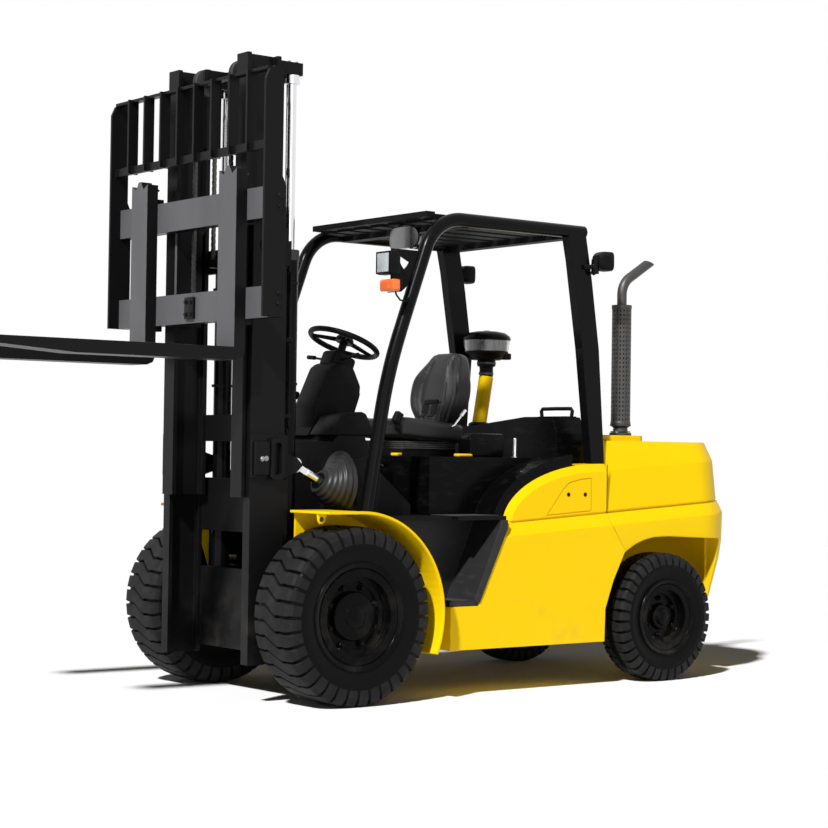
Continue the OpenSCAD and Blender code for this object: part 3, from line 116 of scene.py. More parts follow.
class Sock:
    """A shader socket whose arithmetic adds Math nodes."""

    def __init__(self, kit: "Shader", socket: bpy.types.NodeSocket) -> None:
        self.kit = kit
        self.socket = socket

    def _math(self, operation: str, a: object, b: object) -> "Sock":
        """Adds one Math node and gives its result."""
        return self.kit.node("ShaderNodeMath", {"operation": operation}, {0: a, 1: b})

    def __add__(self, other: object) -> "Sock":
        """Sum of two values."""
        return self._math("ADD", self, other)

    def __sub__(self, other: object) -> "Sock":
        """Difference of two values."""
        return self._math("SUBTRACT", self, other)

    def __rsub__(self, other: object) -> "Sock":
        """Difference with this value taken away."""
        return self._math("SUBTRACT", other, self)

    def __mul__(self, other: object) -> "Sock":
        """Product of two values."""
        return self._math("MULTIPLY", self, other)

    def share(self, low: float, high: float) -> "Sock":
        """Share from 0 to 1 as the value goes from low to high."""
        return self.kit.node(
            "ShaderNodeMapRange", {"interpolation_type": "SMOOTHSTEP"}, {0: self, 1: low, 2: high}
        )


class Shader:
    """Builds one material's nodes."""

    def __init__(self, name: str) -> None:
        """Starts an empty material of that name."""
        self.material = bpy.data.materials.new(name)
        self.material.use_nodes = True
        self.tree = self.material.node_tree
        self.tree.nodes.clear()
        self._place: Sock | None = None

    def node(
        self,
        kind: str,
        settings: dict[str, object] | None = None,
        sockets: dict[object, object] | None = None,
        output: object = 0,
    ) -> Sock:
        """Adds a node.

        Args:
            kind: The node's type.
            settings: Its own settings, set before its sockets.
            sockets: Values or links of its input sockets, by name or number.
            output: The output to give, by name or number.

        Returns:
            The chosen output socket.
        """
        made = self.tree.nodes.new(kind)
        for key, value in (settings or {}).items():
            setattr(made, key, value)
        for key, value in (sockets or {}).items():
            if isinstance(value, Sock):
                self.tree.links.new(value.socket, made.inputs[key])
            else:
                made.inputs[key].default_value = value
        return Sock(self, made.outputs[output])

    def place(self) -> Sock:
        """Object coordinates, made once."""
        if self._place is None:
            self._place = self.node("ShaderNodeTexCoord", output="Object")
        return self._place

    def axis(self, letter: str) -> Sock:
        """One of the object coordinates, X, Y or Z."""
        return self.node("ShaderNodeSeparateXYZ", None, {0: self.place()}, letter)

    def facing(self, letter: str) -> Sock:
        """How far a face looks along X, Y or Z of its object."""
        normal = self.node("ShaderNodeTexCoord", output="Normal")
        return self.node("ShaderNodeSeparateXYZ", None, {0: normal}, letter)

    def noise(self, scale: float, detail: float = 3.0, stretch: Point = (1.0, 1.0, 1.0)) -> Sock:
        """Noise over the object.

        Args:
            scale: Cells in a metre.
            detail: Octaves of finer noise.
            stretch: Factors along each axis.

        Returns:
            A value round one half.
        """
        place = self.place()
        if stretch != (1.0, 1.0, 1.0):
            place = self.node("ShaderNodeMapping", None, {"Vector": place, "Scale": stretch})
        return self.node("ShaderNodeTexNoise", None, {"Vector": place, "Scale": scale, "Detail": detail})

    def mix(self, factor: object, a: object, b: object) -> Sock:
        """Colour between a and b by a factor."""
        a, b = ((*v, 1.0) if isinstance(v, tuple) else v for v in (a, b))
        return self.node("ShaderNodeMix", {"data_type": "RGBA"}, {0: factor, 6: a, 7: b}, 2)

    def bump(self, height: Sock, strength: float, distance: float, normal: Sock | None = None) -> Sock:
        """Normal that follows a height.

        Args:
            height: The height value.
            strength: How far the bump acts, from 0 to 1.
            distance: Depth of the bump in metres.
            normal: A normal to start from.

        Returns:
            The bumped normal.
        """
        sockets = {"Height": height, "Strength": strength, "Distance": distance}
        if normal is not None:
            sockets["Normal"] = normal
        return self.node("ShaderNodeBump", None, sockets)

    def rounded(self, radius: float) -> Sock:
        """Normal that rounds the edges of the solids by a radius in metres."""
        return self.node("ShaderNodeBevel", {"samples": 4}, {"Radius": radius})

    def edges(self, rounded: Sock) -> Sock:
        """Share from 0 on flat faces to 1 at edges, from a rounded normal."""
        flat = self.node("ShaderNodeNewGeometry", output="Normal")
        along = self.node(
            "ShaderNodeVectorMath", {"operation": "DOT_PRODUCT"}, {0: flat, 1: rounded}, "Value")
        return (1 - along).share(0.004, 0.12)

    def surface(self, sockets: dict[str, object]) -> bpy.types.Material:
        """Ends the tree in a Principled surface.

        Args:
            sockets: Values or links of its sockets.

        Returns:
            The finished material.
        """
        fixed = {k: (*v, 1.0) if isinstance(v, tuple) and len(v) == 3 else v for k, v in sockets.items()}
        shader = self.node("ShaderNodeBsdfPrincipled", None, fixed)
        out = self.tree.nodes.new("ShaderNodeOutputMaterial")
        self.tree.links.new(shader.socket, out.inputs["Surface"])
        return self.material


@dataclass(frozen=True)
class Finish:
    """A surface finish, made into one material when first used."""

    name: str
    colour: Colour
    roughness: float
    metallic: float = 0.0
    round_edge: float = 0.003
    specular: float = 0.5

    def material(self) -> bpy.types.Material:
        """The finish's material, made on first use."""
        label = f"{self.name}_finish"
        known = bpy.data.materials.get(label)
        return known if known else self.make(Shader(label))

    def make(self, kit: Shader) -> bpy.types.Material:
        """Builds the nodes of a plain finish with faint drift and grain."""
        drift = kit.noise(5.0)
        normal = kit.rounded(self.round_edge)
        low = tuple(c * 0.82 for c in self.colour)
        return kit.surface({
            "Base Color": kit.mix(drift, low, self.colour),
            "Roughness": kit.noise(40.0) * 0.16 + (self.roughness - 0.08),
            "Metallic": self.metallic,
            "Specular IOR Level": self.specular,
            "Normal": kit.bump(kit.noise(650.0, 2.0), 0.12, 0.0006, normal),
        })


@dataclass(frozen=True)
class Paint(Finish):
    """Sprayed paint with faint orange peel, slightly worn edges and painted light on faces that look forward.
    """

    wear: float = 0.12
    peel: float = 0.08
    worn_colour: Colour = (0.1, 0.1, 0.1)
    front_light: Colour | None = None

    def make(self, kit: Shader) -> bpy.types.Material:
        """Builds paint whose tone drifts, with dust low down, light edges and painted light on forward faces.
        """
        normal = kit.rounded(self.round_edge)
        edge = kit.edges(normal) * kit.noise(22.0, 5.0).share(0.42, 0.7) * self.wear
        tone = kit.mix(kit.noise(1.7, 2.0), tuple(c * 0.93 for c in self.colour), self.colour)
        dust = (1 - kit.axis("Z").share(0.15, 0.75)) * kit.noise(7.0, 6.0).share(0.45, 0.8) * 0.14
        tone = kit.mix(dust, tone, (0.16, 0.14, 0.11))
        # Painted light: faces that look forward get a lighter colour, standing for the light that falls on
        # them.
        if self.front_light:
            patchy = kit.noise(6.0, 5.0, (1.0, 1.0, 0.4)) * 0.5 + 0.7
            front = kit.facing("X").share(0.8, 0.97) * patchy
            tone = kit.mix(front, tone, self.front_light)
        return kit.surface({
            "Base Color": kit.mix(edge, tone, self.worn_colour),
            "Roughness": kit.noise(9.0, 4.0) * 0.12 + dust * 0.9 + (self.roughness - 0.06),
            "Specular IOR Level": self.specular,
            "Normal": kit.bump(kit.noise(210.0, 1.0), self.peel, 0.0008, normal),
        })


@dataclass(frozen=True)
class Moulded(Finish):
    """Moulded plastic with a fine leather-like grain."""

    grain: float = 0.35

    def make(self, kit: Shader) -> bpy.types.Material:
        """Builds plastic with a cell grain, faint scuffs and pale edges."""
        normal = kit.rounded(self.round_edge)
        cells = kit.node("ShaderNodeTexVoronoi", {"feature": "F1"}, {"Vector": kit.place(), "Scale": 420.0})
        scuff = kit.noise(11.0, 6.0, (1.0, 1.0, 3.0)).share(0.5, 0.78)
        worn = tuple(min(c * 2.2 + 0.012, 1.0) for c in self.colour)
        tone = kit.mix(scuff * 0.3 + kit.edges(normal) * 0.25, self.colour, worn)
        return kit.surface({
            "Base Color": tone,
            "Roughness": kit.noise(26.0) * 0.14 + scuff * 0.08 + (self.roughness - 0.07),
            "Specular IOR Level": self.specular,
            "Normal": kit.bump(cells, self.grain, 0.0009, normal),
        })


@dataclass(frozen=True)
class Rubber(Finish):
    """Vulcanised rubber, with dust where it meets the ground."""

    dust: float = 0.5
    dust_colour: Colour = (0.075, 0.07, 0.065)

    def make(self, kit: Shader) -> bpy.types.Material:
        """Builds rubber with fine pores and patches of dust."""
        patch = kit.noise(14.0, 6.0).share(0.4, 0.72) * self.dust
        return kit.surface({
            "Base Color": kit.mix(patch, self.colour, self.dust_colour),
            "Roughness": kit.noise(30.0, 4.0) * 0.2 + (self.roughness - 0.1),
            "Specular IOR Level": self.specular,
            "Normal": kit.bump(kit.noise(520.0, 3.0), 0.12, 0.0004),
        })


@dataclass(frozen=True)
class Metal(Finish):
    """Bare, plated or burnt metal with fine drawn lines."""

    lines: Point = (40.0, 40.0, 2.0)
    stain: Colour = (0.12, 0.09, 0.07)
    stained: float = 0.15

    def make(self, kit: Shader) -> bpy.types.Material:
        """Builds metal with drawn lines and faint stains."""
        normal = kit.rounded(self.round_edge)
        drawn = kit.noise(14.0, 5.0, self.lines)
        stain = kit.noise(9.0, 6.0).share(0.5, 0.8) * self.stained
        return kit.surface({
            "Base Color": kit.mix(stain, self.colour, self.stain),
            "Roughness": drawn * 0.14 + stain * 0.5 + (self.roughness - 0.07),
            "Metallic": self.metallic,
            "Normal": kit.bump(drawn, 0.08, 0.0004, normal),
        })


@dataclass(frozen=True)
class Vinyl(Finish):
    """Seat vinyl with a fine creased grain and a soft sheen."""

    def make(self, kit: Shader) -> bpy.types.Material:
        """Builds vinyl from two sizes of cell grain and slow folds."""
        cells = kit.node("ShaderNodeTexVoronoi", {"feature": "DISTANCE_TO_EDGE"},
                         {"Vector": kit.place(), "Scale": 330.0})
        grain = cells.share(0.0, 0.22) * 0.7 + kit.noise(18.0, 3.0) * 0.9
        return kit.surface({
            "Base Color": kit.mix(kit.noise(6.0, 4.0), tuple(c * 0.7 for c in self.colour), self.colour),
            "Roughness": kit.noise(35.0, 3.0) * 0.16 + (self.roughness - 0.08),
            "Sheen Weight": 0.05,
            "Specular IOR Level": self.specular,
            "Normal": kit.bump(grain, 0.35, 0.0011),
        })


@dataclass(frozen=True)
class Clear(Finish):
    """See-through plastic or glass, faintly fogged."""

    see_through: float = 0.9

    def make(self, kit: Shader) -> bpy.types.Material:
        """Builds a clear wall with faint fog and ripples."""
        fog = kit.noise(30.0, 4.0)
        return kit.surface({
            "Base Color": kit.mix(fog, tuple(c * 0.9 for c in self.colour), self.colour),
            "Roughness": fog * 0.1 + self.roughness,
            "Transmission Weight": self.see_through,
            "IOR": 1.46,
            "Normal": kit.bump(kit.noise(60.0, 2.0), 0.05, 0.0006),
        })


@dataclass(frozen=True)
class Lens(Finish):
    """A moulded lamp lens with prism ribs."""

    ribs: float = 260.0

    def make(self, kit: Shader) -> bpy.types.Material:
        """Builds a glossy lens whose ribs run upright."""
        wave = kit.node("ShaderNodeTexWave", {"wave_type": "BANDS", "bands_direction": "Y"},
                        {"Vector": kit.place(), "Scale": self.ribs / math.tau, "Distortion": 0.0})
        return kit.surface({
            "Base Color": kit.mix(wave, tuple(c * 0.6 for c in self.colour), self.colour),
            "Roughness": kit.noise(30.0) * 0.06 + self.roughness,
            "Metallic": self.metallic,
            "Coat Weight": 0.8,
            "Normal": kit.bump(wave, 0.5, 0.002),
        })


BODY_YELLOW, WORN_YELLOW = (0.92, 0.6, 0.003), (0.94, 0.65, 0.02)
# The third black is painted light: the lighter tone of forward faces on the forks and carriage.
STEEL_BLACK, WORN_BLACK, FRONT_LIGHT_BLACK = (0.005, 0.005, 0.0055), (0.04, 0.04, 0.042), (0.1, 0.1, 0.105)
YELLOW = Paint("yellow_paint", BODY_YELLOW, 0.34, round_edge=0.006, worn_colour=WORN_YELLOW, wear=0.25,
               specular=0.08)
CAST_YELLOW = Paint("cast_yellow_paint", BODY_YELLOW, 0.36, round_edge=0.016, worn_colour=WORN_YELLOW,
                    wear=0.25, peel=0.14, specular=0.08)
MAST_BLACK = Paint("mast_black", STEEL_BLACK, 0.36, worn_colour=WORN_BLACK, wear=0.6, specular=0.11)
GUARD_BLACK = Paint("guard_black", (0.003, 0.003, 0.0035), 0.22, round_edge=0.004,
                    worn_colour=(0.02, 0.02, 0.022), wear=0.3, specular=0.09)
FORK_BLACK = Paint("fork_black", STEEL_BLACK, 0.4, round_edge=0.004, worn_colour=(0.12, 0.12, 0.12),
                   wear=0.8, peel=0.2, specular=0.12, front_light=FRONT_LIGHT_BLACK)
CARRIAGE_BLACK = Paint("carriage_black", STEEL_BLACK, 0.36, worn_colour=WORN_BLACK, wear=0.6,
                       specular=0.11, front_light=FRONT_LIGHT_BLACK)
RIM_BLACK = Paint("rim_black", (0.002, 0.002, 0.0024), 0.2, wear=0.1, specular=0.06)
UNDER_BLACK = Paint("under_black", (0.006, 0.006, 0.006), 0.55, wear=0.2, specular=0.06)
PLASTIC = Moulded("moulded_black", (0.004, 0.004, 0.0046), 0.46, specular=0.08)
STEP_PLASTIC = Moulded("step_grey", (0.02, 0.02, 0.021), 0.4, specular=0.2)
HOOD_PLASTIC = Moulded("hood_black", (0.002, 0.002, 0.0023), 0.24, grain=0.06, specular=0.06)
MAT_RUBBER = Rubber("mat_rubber", (0.02, 0.02, 0.02), 0.75)
TYRE = Rubber("tyre_rubber", (0.003, 0.003, 0.0032), 0.4, dust=0.06,
              dust_colour=(0.012, 0.012, 0.011), specular=0.06)
# The tread rubber is lighter than the sidewall rubber: painted light on the front-lit tread, with dust
# patches over it.
TREAD = Rubber("tread_rubber", (0.012, 0.012, 0.0125), 0.6, dust=0.35,
               dust_colour=(0.035, 0.034, 0.032), specular=0.08)
# The groove rubber is pale partly for dust and partly as a painted highlight in the grooves.
GROOVE = Rubber("groove_dust_and_highlight", (0.16, 0.155, 0.15), 0.8, dust=0.6,
                dust_colour=(0.05, 0.048, 0.046), specular=0.1)
BOOT = Rubber("boot_rubber", (0.013, 0.013, 0.0135), 0.42, dust=0.1,
              dust_colour=(0.09, 0.088, 0.085), specular=0.3)
CHROME = Metal("chrome", (0.78, 0.78, 0.8), 0.12, 1.0, stained=0.05)
CHAIN = Metal("chain_steel", (0.1, 0.098, 0.095), 0.38, 0.9, round_edge=0.001, stained=0.4)
STEEL = Metal("bolt_steel", (0.3, 0.3, 0.31), 0.35, 1.0, round_edge=0.001)
DARK_STEEL = Metal("dark_steel", (0.05, 0.05, 0.052), 0.42, 0.7, round_edge=0.001)
BRASS = Metal("brass_fitting", (0.72, 0.47, 0.16), 0.28, 1.0, round_edge=0.001)
STACK = Metal("stack_steel", (0.07, 0.069, 0.068), 0.42, 0.8, stain=(0.09, 0.06, 0.04), stained=0.45)
IRON = Finish("cast_iron", (0.1, 0.1, 0.105), 0.6, 0.4)
VINYL = Vinyl("seat_vinyl", (0.011, 0.011, 0.012), 0.36, specular=0.3)
VINYL_GREY = Vinyl("seat_panel_vinyl", (0.042, 0.042, 0.045), 0.38, specular=0.35)
MIRROR = Metal("mirror_face", (0.2, 0.2, 0.205), 0.2, 1.0, stained=0.03)
CLEAR = Clear("clear_bowl", (0.93, 0.94, 0.93), 0.03)
GLASS_LENS = Lens("lamp_lens", (0.72, 0.77, 0.8), 0.08, 0.35)
AMBER_LENS = Lens("amber_lens", (1.0, 0.16, 0.0), 0.14, ribs=420.0)


class Solid:
    """Collects the faces of one piece, in metres in the row frame."""

    def __init__(self) -> None:
        """Starts with no faces."""
        self.bm = bmesh.new()

    def block(
        self, low: Vector, high: Vector, bevel: float = 0.0, turn: Matrix | None = None
    ) -> "Solid":
        """Adds a box with rounded edges.

        Args:
            low: Its lowest corner.
            high: Its highest corner.
            bevel: Radius of its edges in metres.
            turn: A turn about its middle.

        Returns:
            The solid itself.
        """
        middle, size = (low + high) / 2, high - low
        place = Matrix.Translation(middle) @ (turn.to_4x4() if turn else Matrix.Identity(4))
        made = bmesh.ops.create_cube(self.bm, size=1.0, matrix=place @ Matrix.Diagonal((*size, 1.0)))
        if bevel > 0:
            edges = list({e for v in made["verts"] for e in v.link_edges})
            bmesh.ops.bevel(self.bm, geom=edges, offset=bevel, segments=3, profile=0.5, affect="EDGES")
        return self

    def turned(
        self, profile: list[Flat], centre: Vector, axis: Vector, steps: int = 48
    ) -> "Solid":
        """Adds a profile turned about an axis.

        Args:
            profile: Radius and height of each point, in millimetres.
            centre: Where height 0 lies.
            axis: Direction of growing height.
            steps: Faces round the axis.

        Returns:
            The solid itself.
        """
        spin = axis.normalized().to_track_quat("Z", "Y").to_matrix()
        rings = []
        for radius, height in profile:
            count = steps if radius > 1e-6 else 1
            rings.append([
                self.bm.verts.new(centre + spin @ Vector((
                    radius / 1000 * math.cos(math.tau * i / steps),
                    radius / 1000 * math.sin(math.tau * i / steps), height / 1000)))
                for i in range(count)
            ])
        self.bridge(rings)
        return self

    def bridge(self, rings: list[list[bmesh.types.BMVert]]) -> None:
        """Joins closed rings of points with faces; a ring of one point is a pole."""
        for lower, upper in zip(rings, rings[1:]):
            n = max(len(lower), len(upper))
            for i in range(n):
                j = (i + 1) % n
                corners = dict.fromkeys((lower[i % len(lower)], lower[j % len(lower)],
                                         upper[j % len(upper)], upper[i % len(upper)]))
                if len(corners) > 2:
                    self.bm.faces.new(list(corners))

    def skin(self, rings: list[list[bmesh.types.BMVert]]) -> "Solid":
        """Joins closed rings of points with faces and closes both ends."""
        self.bridge(rings)
        self.bm.faces.new(rings[0][::-1])
        self.bm.faces.new(rings[-1])
        return self

    def holed(self, rim: list[Vector], hole: list[Vector], along: Vector) -> "Solid":
        """Adds a plate with a hole of as many corners as its rim.

        Args:
            rim: Corners of the plate.
            hole: Corners of the hole.
            along: The direction and thickness of the plate.

        Returns:
            The solid itself.
        """
        rings = []
        for points, shift in ((rim, 0), (rim, 1), (hole, 1), (hole, 0)):
            rings.append([self.bm.verts.new(p + shift * along) for p in points])
        self.bridge(rings + [rings[0]])
        return self

    def prism(self, outline: list[Vector], along: Vector, bevel: float = 0.0) -> "Solid":
        """Adds a flat outline drawn out along a vector.

        Args:
            outline: Corners of the outline.
            along: The direction and depth of the prism.
            bevel: Radius of its edges in metres.

        Returns:
            The solid itself.
        """
        lower = [self.bm.verts.new(p) for p in outline]
        upper = [self.bm.verts.new(p + along) for p in outline]
        n = len(outline)
        faces = [self.bm.faces.new(lower[::-1]), self.bm.faces.new(upper)]
        for i in range(n):
            j = (i + 1) % n
            faces.append(self.bm.faces.new((lower[i], lower[j], upper[j], upper[i])))
        if bevel > 0:
            edges = list({e for f in faces for e in f.edges})
            bmesh.ops.bevel(self.bm, geom=edges, offset=bevel, segments=2, profile=0.5, affect="EDGES")
        return self

    def plate(self, outline: list[Flat], y: float, thick: float, bevel: float) -> "Solid":
        """Adds an outline seen from the side, drawn out across the truck.

        Args:
            outline: x and z of its corners in millimetres.
            y: Where it starts, in millimetres.
            thick: How far it goes across, in millimetres.
            bevel: Radius of its edges in metres.

        Returns:
            The solid itself.
        """
        return self.prism([at(x, y, z) for x, z in outline], LEFT * thick / 1000, bevel)

    def tube(self, path: list[Vector], radius: float, sides: int = 12) -> "Solid":
        """Adds a round tube along a path with closed ends.

        Args:
            path: Points of its middle line.
            radius: Its radius in metres.
            sides: Faces round it.

        Returns:
            The solid itself.
        """
        rings = []
        side = None
        for i, point in enumerate(path):
            ahead = (path[min(i + 1, len(path) - 1)] - path[max(i - 1, 0)]).normalized()
            if side is None:
                side = ahead.orthogonal().normalized()
            side = (side - ahead * side.dot(ahead)).normalized()
            other = ahead.cross(side)
            rings.append([
                self.bm.verts.new(point + radius * (math.cos(math.tau * k / sides) * side
                                                    + math.sin(math.tau * k / sides) * other))
                for k in range(sides)
            ])
        return self.skin(rings)

    def mirrored(self) -> "Solid":
        """Adds the same faces on the other side of the truck."""
        whole = self.bm.verts[:] + self.bm.edges[:] + self.bm.faces[:]
        made = bmesh.ops.duplicate(self.bm, geom=whole)["geom"]
        for item in made:
            if isinstance(item, bmesh.types.BMVert):
                item.co.y = -item.co.y
        bmesh.ops.reverse_faces(self.bm, faces=[f for f in made if isinstance(f, bmesh.types.BMFace)])
        return self

    def mesh(self, name: str, sharp: float = 35.0) -> bpy.types.Mesh:
        """Ends the solid as a mesh with outward faces.

        Args:
            name: Name of the mesh.
            sharp: Angle in degrees past which an edge stays sharp.

        Returns:
            The mesh.
        """
        bmesh.ops.recalc_face_normals(self.bm, faces=self.bm.faces)
        for face in self.bm.faces:
            face.smooth = True
        for edge in self.bm.edges:
            edge.smooth = len(edge.link_faces) == 2 and edge.calc_face_angle(0.0) < math.radians(sharp)
        made = bpy.data.meshes.new(name)
        self.bm.to_mesh(made)
        self.bm.free()
        return made

    def piece(self, name: str, finish: Finish, body: Body, sharp: float = 35.0) -> bpy.types.Object:
        """Ends the solid as a piece that rides on a body.

        Args:
            name: Name of the piece.
            finish: Its finish.
            body: The body that it rides on.
            sharp: Angle in degrees past which an edge stays sharp.

        Returns:
            The new object.
        """
        made = new_object(name, self.mesh(name, sharp), finish)
        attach(made, body.value)
        log.info("%s rides on %s", name, body.value)
        return made


def new_object(name: str, mesh: bpy.types.Mesh, finish: Finish) -> bpy.types.Object:
    """Links a new object with one finish to the scene.

    Args:
        name: Name of the object.
        mesh: Its mesh.
        finish: Its finish.

    Returns:
        The object.
    """
    made = bpy.data.objects.new(name, mesh)
    made.data.materials.clear()
    made.data.materials.append(finish.material())
    bpy.context.scene.collection.objects.link(made)
    return made


class Tree:
    """One Geometry Nodes tree with named inputs."""

    def __init__(self, name: str, inputs: dict[str, tuple[str, object]]) -> None:
        """Starts a tree.

        Args:
            name: Name of the tree.
            inputs: Socket type and first value of each named input.
        """
        self.tree = bpy.data.node_groups.new(name, "GeometryNodeTree")
        face = self.tree.interface
        face.new_socket("Geometry", in_out="INPUT", socket_type="NodeSocketGeometry")
        face.new_socket("Geometry", in_out="OUTPUT", socket_type="NodeSocketGeometry")
        self.keys: dict[str, str] = {}
        for label, (kind, value) in inputs.items():
            socket = face.new_socket(label, in_out="INPUT", socket_type=kind)
            if value is not None:
                socket.default_value = value
            self.keys[label] = socket.identifier
        self.source = self.tree.nodes.new("NodeGroupInput")

    def input(self, label: str) -> bpy.types.NodeSocket:
        """The tree's own input socket of that name."""
        return self.source.outputs[label]

    def node(self, kind: str, sockets: dict[object, object], output: object = 0,
             **settings: object) -> bpy.types.NodeSocket:
        """Adds a node.

        Args:
            kind: The node's type.
            sockets: Values or links of its input sockets.
            output: The output to give.
            **settings: The node's own settings.

        Returns:
            The chosen output socket.
        """
        made = self.tree.nodes.new(kind)
        for key, value in settings.items():
            setattr(made, key, value)
        for key, value in sockets.items():
            if isinstance(value, bpy.types.NodeSocket):
                self.tree.links.new(value, made.inputs[key])
            else:
                made.inputs[key].default_value = value
        return made.outputs[output]

    def end(self, geometry: bpy.types.NodeSocket) -> None:
        """Realizes the instances, sets the material and closes the tree."""
        real = self.node("GeometryNodeRealizeInstances", {0: geometry})
        dressed = self.node("GeometryNodeSetMaterial", {"Geometry": real, "Material": self.input("Material")})
        out = self.tree.nodes.new("NodeGroupOutput")
        self.tree.links.new(dressed, out.inputs[0])

    def run(
        self, name: str, mesh: bpy.types.Mesh, finish: Finish, values: dict[str, object]
    ) -> bpy.types.Object:
        """Runs the tree on a mesh and keeps the result as a plain mesh.

        Args:
            name: Name of the new piece.
            mesh: The mesh that goes in.
            finish: The finish that the tree sets.
            values: Values of the named inputs.

        Returns:
            The new object, with no modifier left.
        """
        made = new_object(name, mesh, finish)
        modifier = made.modifiers.new("nodes", "NODES")
        modifier.node_group = self.tree
        modifier[self.keys["Material"]] = finish.material()
        for label, value in values.items():
            modifier[self.keys[label]] = value
        graph = bpy.context.evaluated_depsgraph_get()
        result = bpy.data.meshes.new_from_object(made.evaluated_get(graph), depsgraph=graph)
        made.modifiers.clear()
        made.data = result
        made.data.name = name
        return made


MATERIAL_INPUT = {"Material": ("NodeSocketMaterial", None)}


class Repeater:
    """The trees that repeat a shape in a row or round an axle, and set bolts on points."""

    def __init__(self) -> None:
        """Builds the three trees."""
        self.row = self._row()
        self.ring = self._ring()
        self.bolts = self._bolts()

    @staticmethod
    def _row() -> Tree:
        """Tree that repeats its input along a step."""
        tree = Tree("repeat_in_row", {
            "Count": ("NodeSocketInt", 2), "Step": ("NodeSocketVector", (0.0, 0.0, 0.0)), **MATERIAL_INPUT})
        line = tree.node("GeometryNodeMeshLine", {"Count": tree.input("Count"), "Offset": tree.input("Step")},
                         mode="OFFSET", count_mode="TOTAL")
        tree.end(tree.node(
            "GeometryNodeInstanceOnPoints", {"Points": line, "Instance": tree.input("Geometry")}))
        return tree

    @staticmethod
    def _ring() -> Tree:
        """Tree that repeats its input round an axis through a centre."""
        tree = Tree("repeat_round_axle", {
            "Count": ("NodeSocketInt", 2), "Axis": ("NodeSocketVector", (0.0, 1.0, 0.0)),
            "Centre": ("NodeSocketVector", (0.0, 0.0, 0.0)), **MATERIAL_INPUT})
        line = tree.node("GeometryNodeMeshLine", {"Count": tree.input("Count"), "Offset": (0.0, 0.0, 0.0)},
                         mode="OFFSET", count_mode="TOTAL")
        step = tree.node("ShaderNodeMath", {0: math.tau, 1: tree.input("Count")}, operation="DIVIDE")
        angle = tree.node("ShaderNodeMath", {0: tree.node("GeometryNodeInputIndex", {}), 1: step},
                          operation="MULTIPLY")
        turn = tree.node("ShaderNodeVectorMath", {0: tree.input("Axis"), "Scale": angle}, operation="SCALE")
        spin = tree.node("FunctionNodeEulerToRotation", {0: turn})
        copies = tree.node("GeometryNodeInstanceOnPoints",
                           {"Points": line, "Instance": tree.input("Geometry"), "Rotation": spin})
        tree.end(tree.node(
            "GeometryNodeTransform", {"Geometry": copies, "Translation": tree.input("Centre")}))
        return tree

    @staticmethod
    def _bolts() -> Tree:
        """Tree that sets a hexagon head on a washer at every point, along its aim."""
        tree = Tree("bolt_heads", {
            "Radius": ("NodeSocketFloat", 0.01), "Height": ("NodeSocketFloat", 0.008), **MATERIAL_INPUT})
        radius, height = tree.input("Radius"), tree.input("Height")
        wide = tree.node("ShaderNodeMath", {0: radius, 1: 1.45}, operation="MULTIPLY")
        thin = tree.node("ShaderNodeMath", {0: height, 1: 0.5}, operation="MULTIPLY")
        head = tree.node("GeometryNodeMeshCylinder", {"Vertices": 6, "Radius": radius, "Depth": height})
        washer = tree.node("GeometryNodeMeshCylinder", {"Vertices": 18, "Radius": wide, "Depth": thin})
        rise = tree.node("ShaderNodeMath", {0: height, 1: 0.62}, operation="MULTIPLY")
        lift = tree.node("ShaderNodeCombineXYZ", {2: rise})
        raised = tree.node("GeometryNodeTransform", {"Geometry": head, "Translation": lift})
        join = tree.tree.nodes.new("GeometryNodeJoinGeometry")
        tree.tree.links.new(raised, join.inputs[0])
        tree.tree.links.new(washer, join.inputs[0])
        aim = tree.node("GeometryNodeInputNamedAttribute", {"Name": "aim"}, data_type="FLOAT_VECTOR")
        turn = tree.node("FunctionNodeAlignRotationToVector", {"Vector": aim}, axis="Z")
        tree.end(tree.node("GeometryNodeInstanceOnPoints", {
            "Points": tree.input("Geometry"), "Instance": join.outputs[0], "Rotation": turn}))
        return tree

    def bolt_set(self, name: str, places: list[tuple[Vector, Vector]], radius: float, body: Body,
                 finish: Finish = STEEL, height: float = 0.008) -> bpy.types.Object:
        """Makes bolts at given places.

        Args:
            name: Name of the piece.
            places: Foot and direction of each bolt, in the row frame.
            radius: Radius of a head in metres.
            body: The body that they ride on.
            finish: Their finish.
            height: Height of a head in metres.

        Returns:
            The piece with all the bolts.
        """
        points = bpy.data.meshes.new(name)
        points.from_pydata([p for p, _ in places], [], [])
        aims = points.attributes.new("aim", "FLOAT_VECTOR", "POINT")
        for item, place in zip(aims.data, places):
            item.vector = place[1].normalized()
        made = self.bolts.run(name, points, finish, {"Radius": radius, "Height": height})
        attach(made, body.value)
        log.info("%s: %d bolts on %s", name, len(places), body.value)
        return made

    def slats(self, name: str, slat: Solid, finish: Finish, count: int, step: Point) -> None:
        """Makes a row of equal slats or ribs on the chassis.

        Args:
            name: Name of the piece.
            slat: The first slat.
            finish: Their finish.
            count: How many.
            step: The way from one to the next, in metres.
        """
        made = self.row.run(name, slat.mesh("slat"), finish, {"Count": count, "Step": step})
        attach(made, Body.CHASSIS.value)
        log.info("%s: %d in a row", name, count)


@dataclass
class Assembly:
    """A group of pieces that is built as one, with the trees that repeat shapes."""

    repeat: Repeater


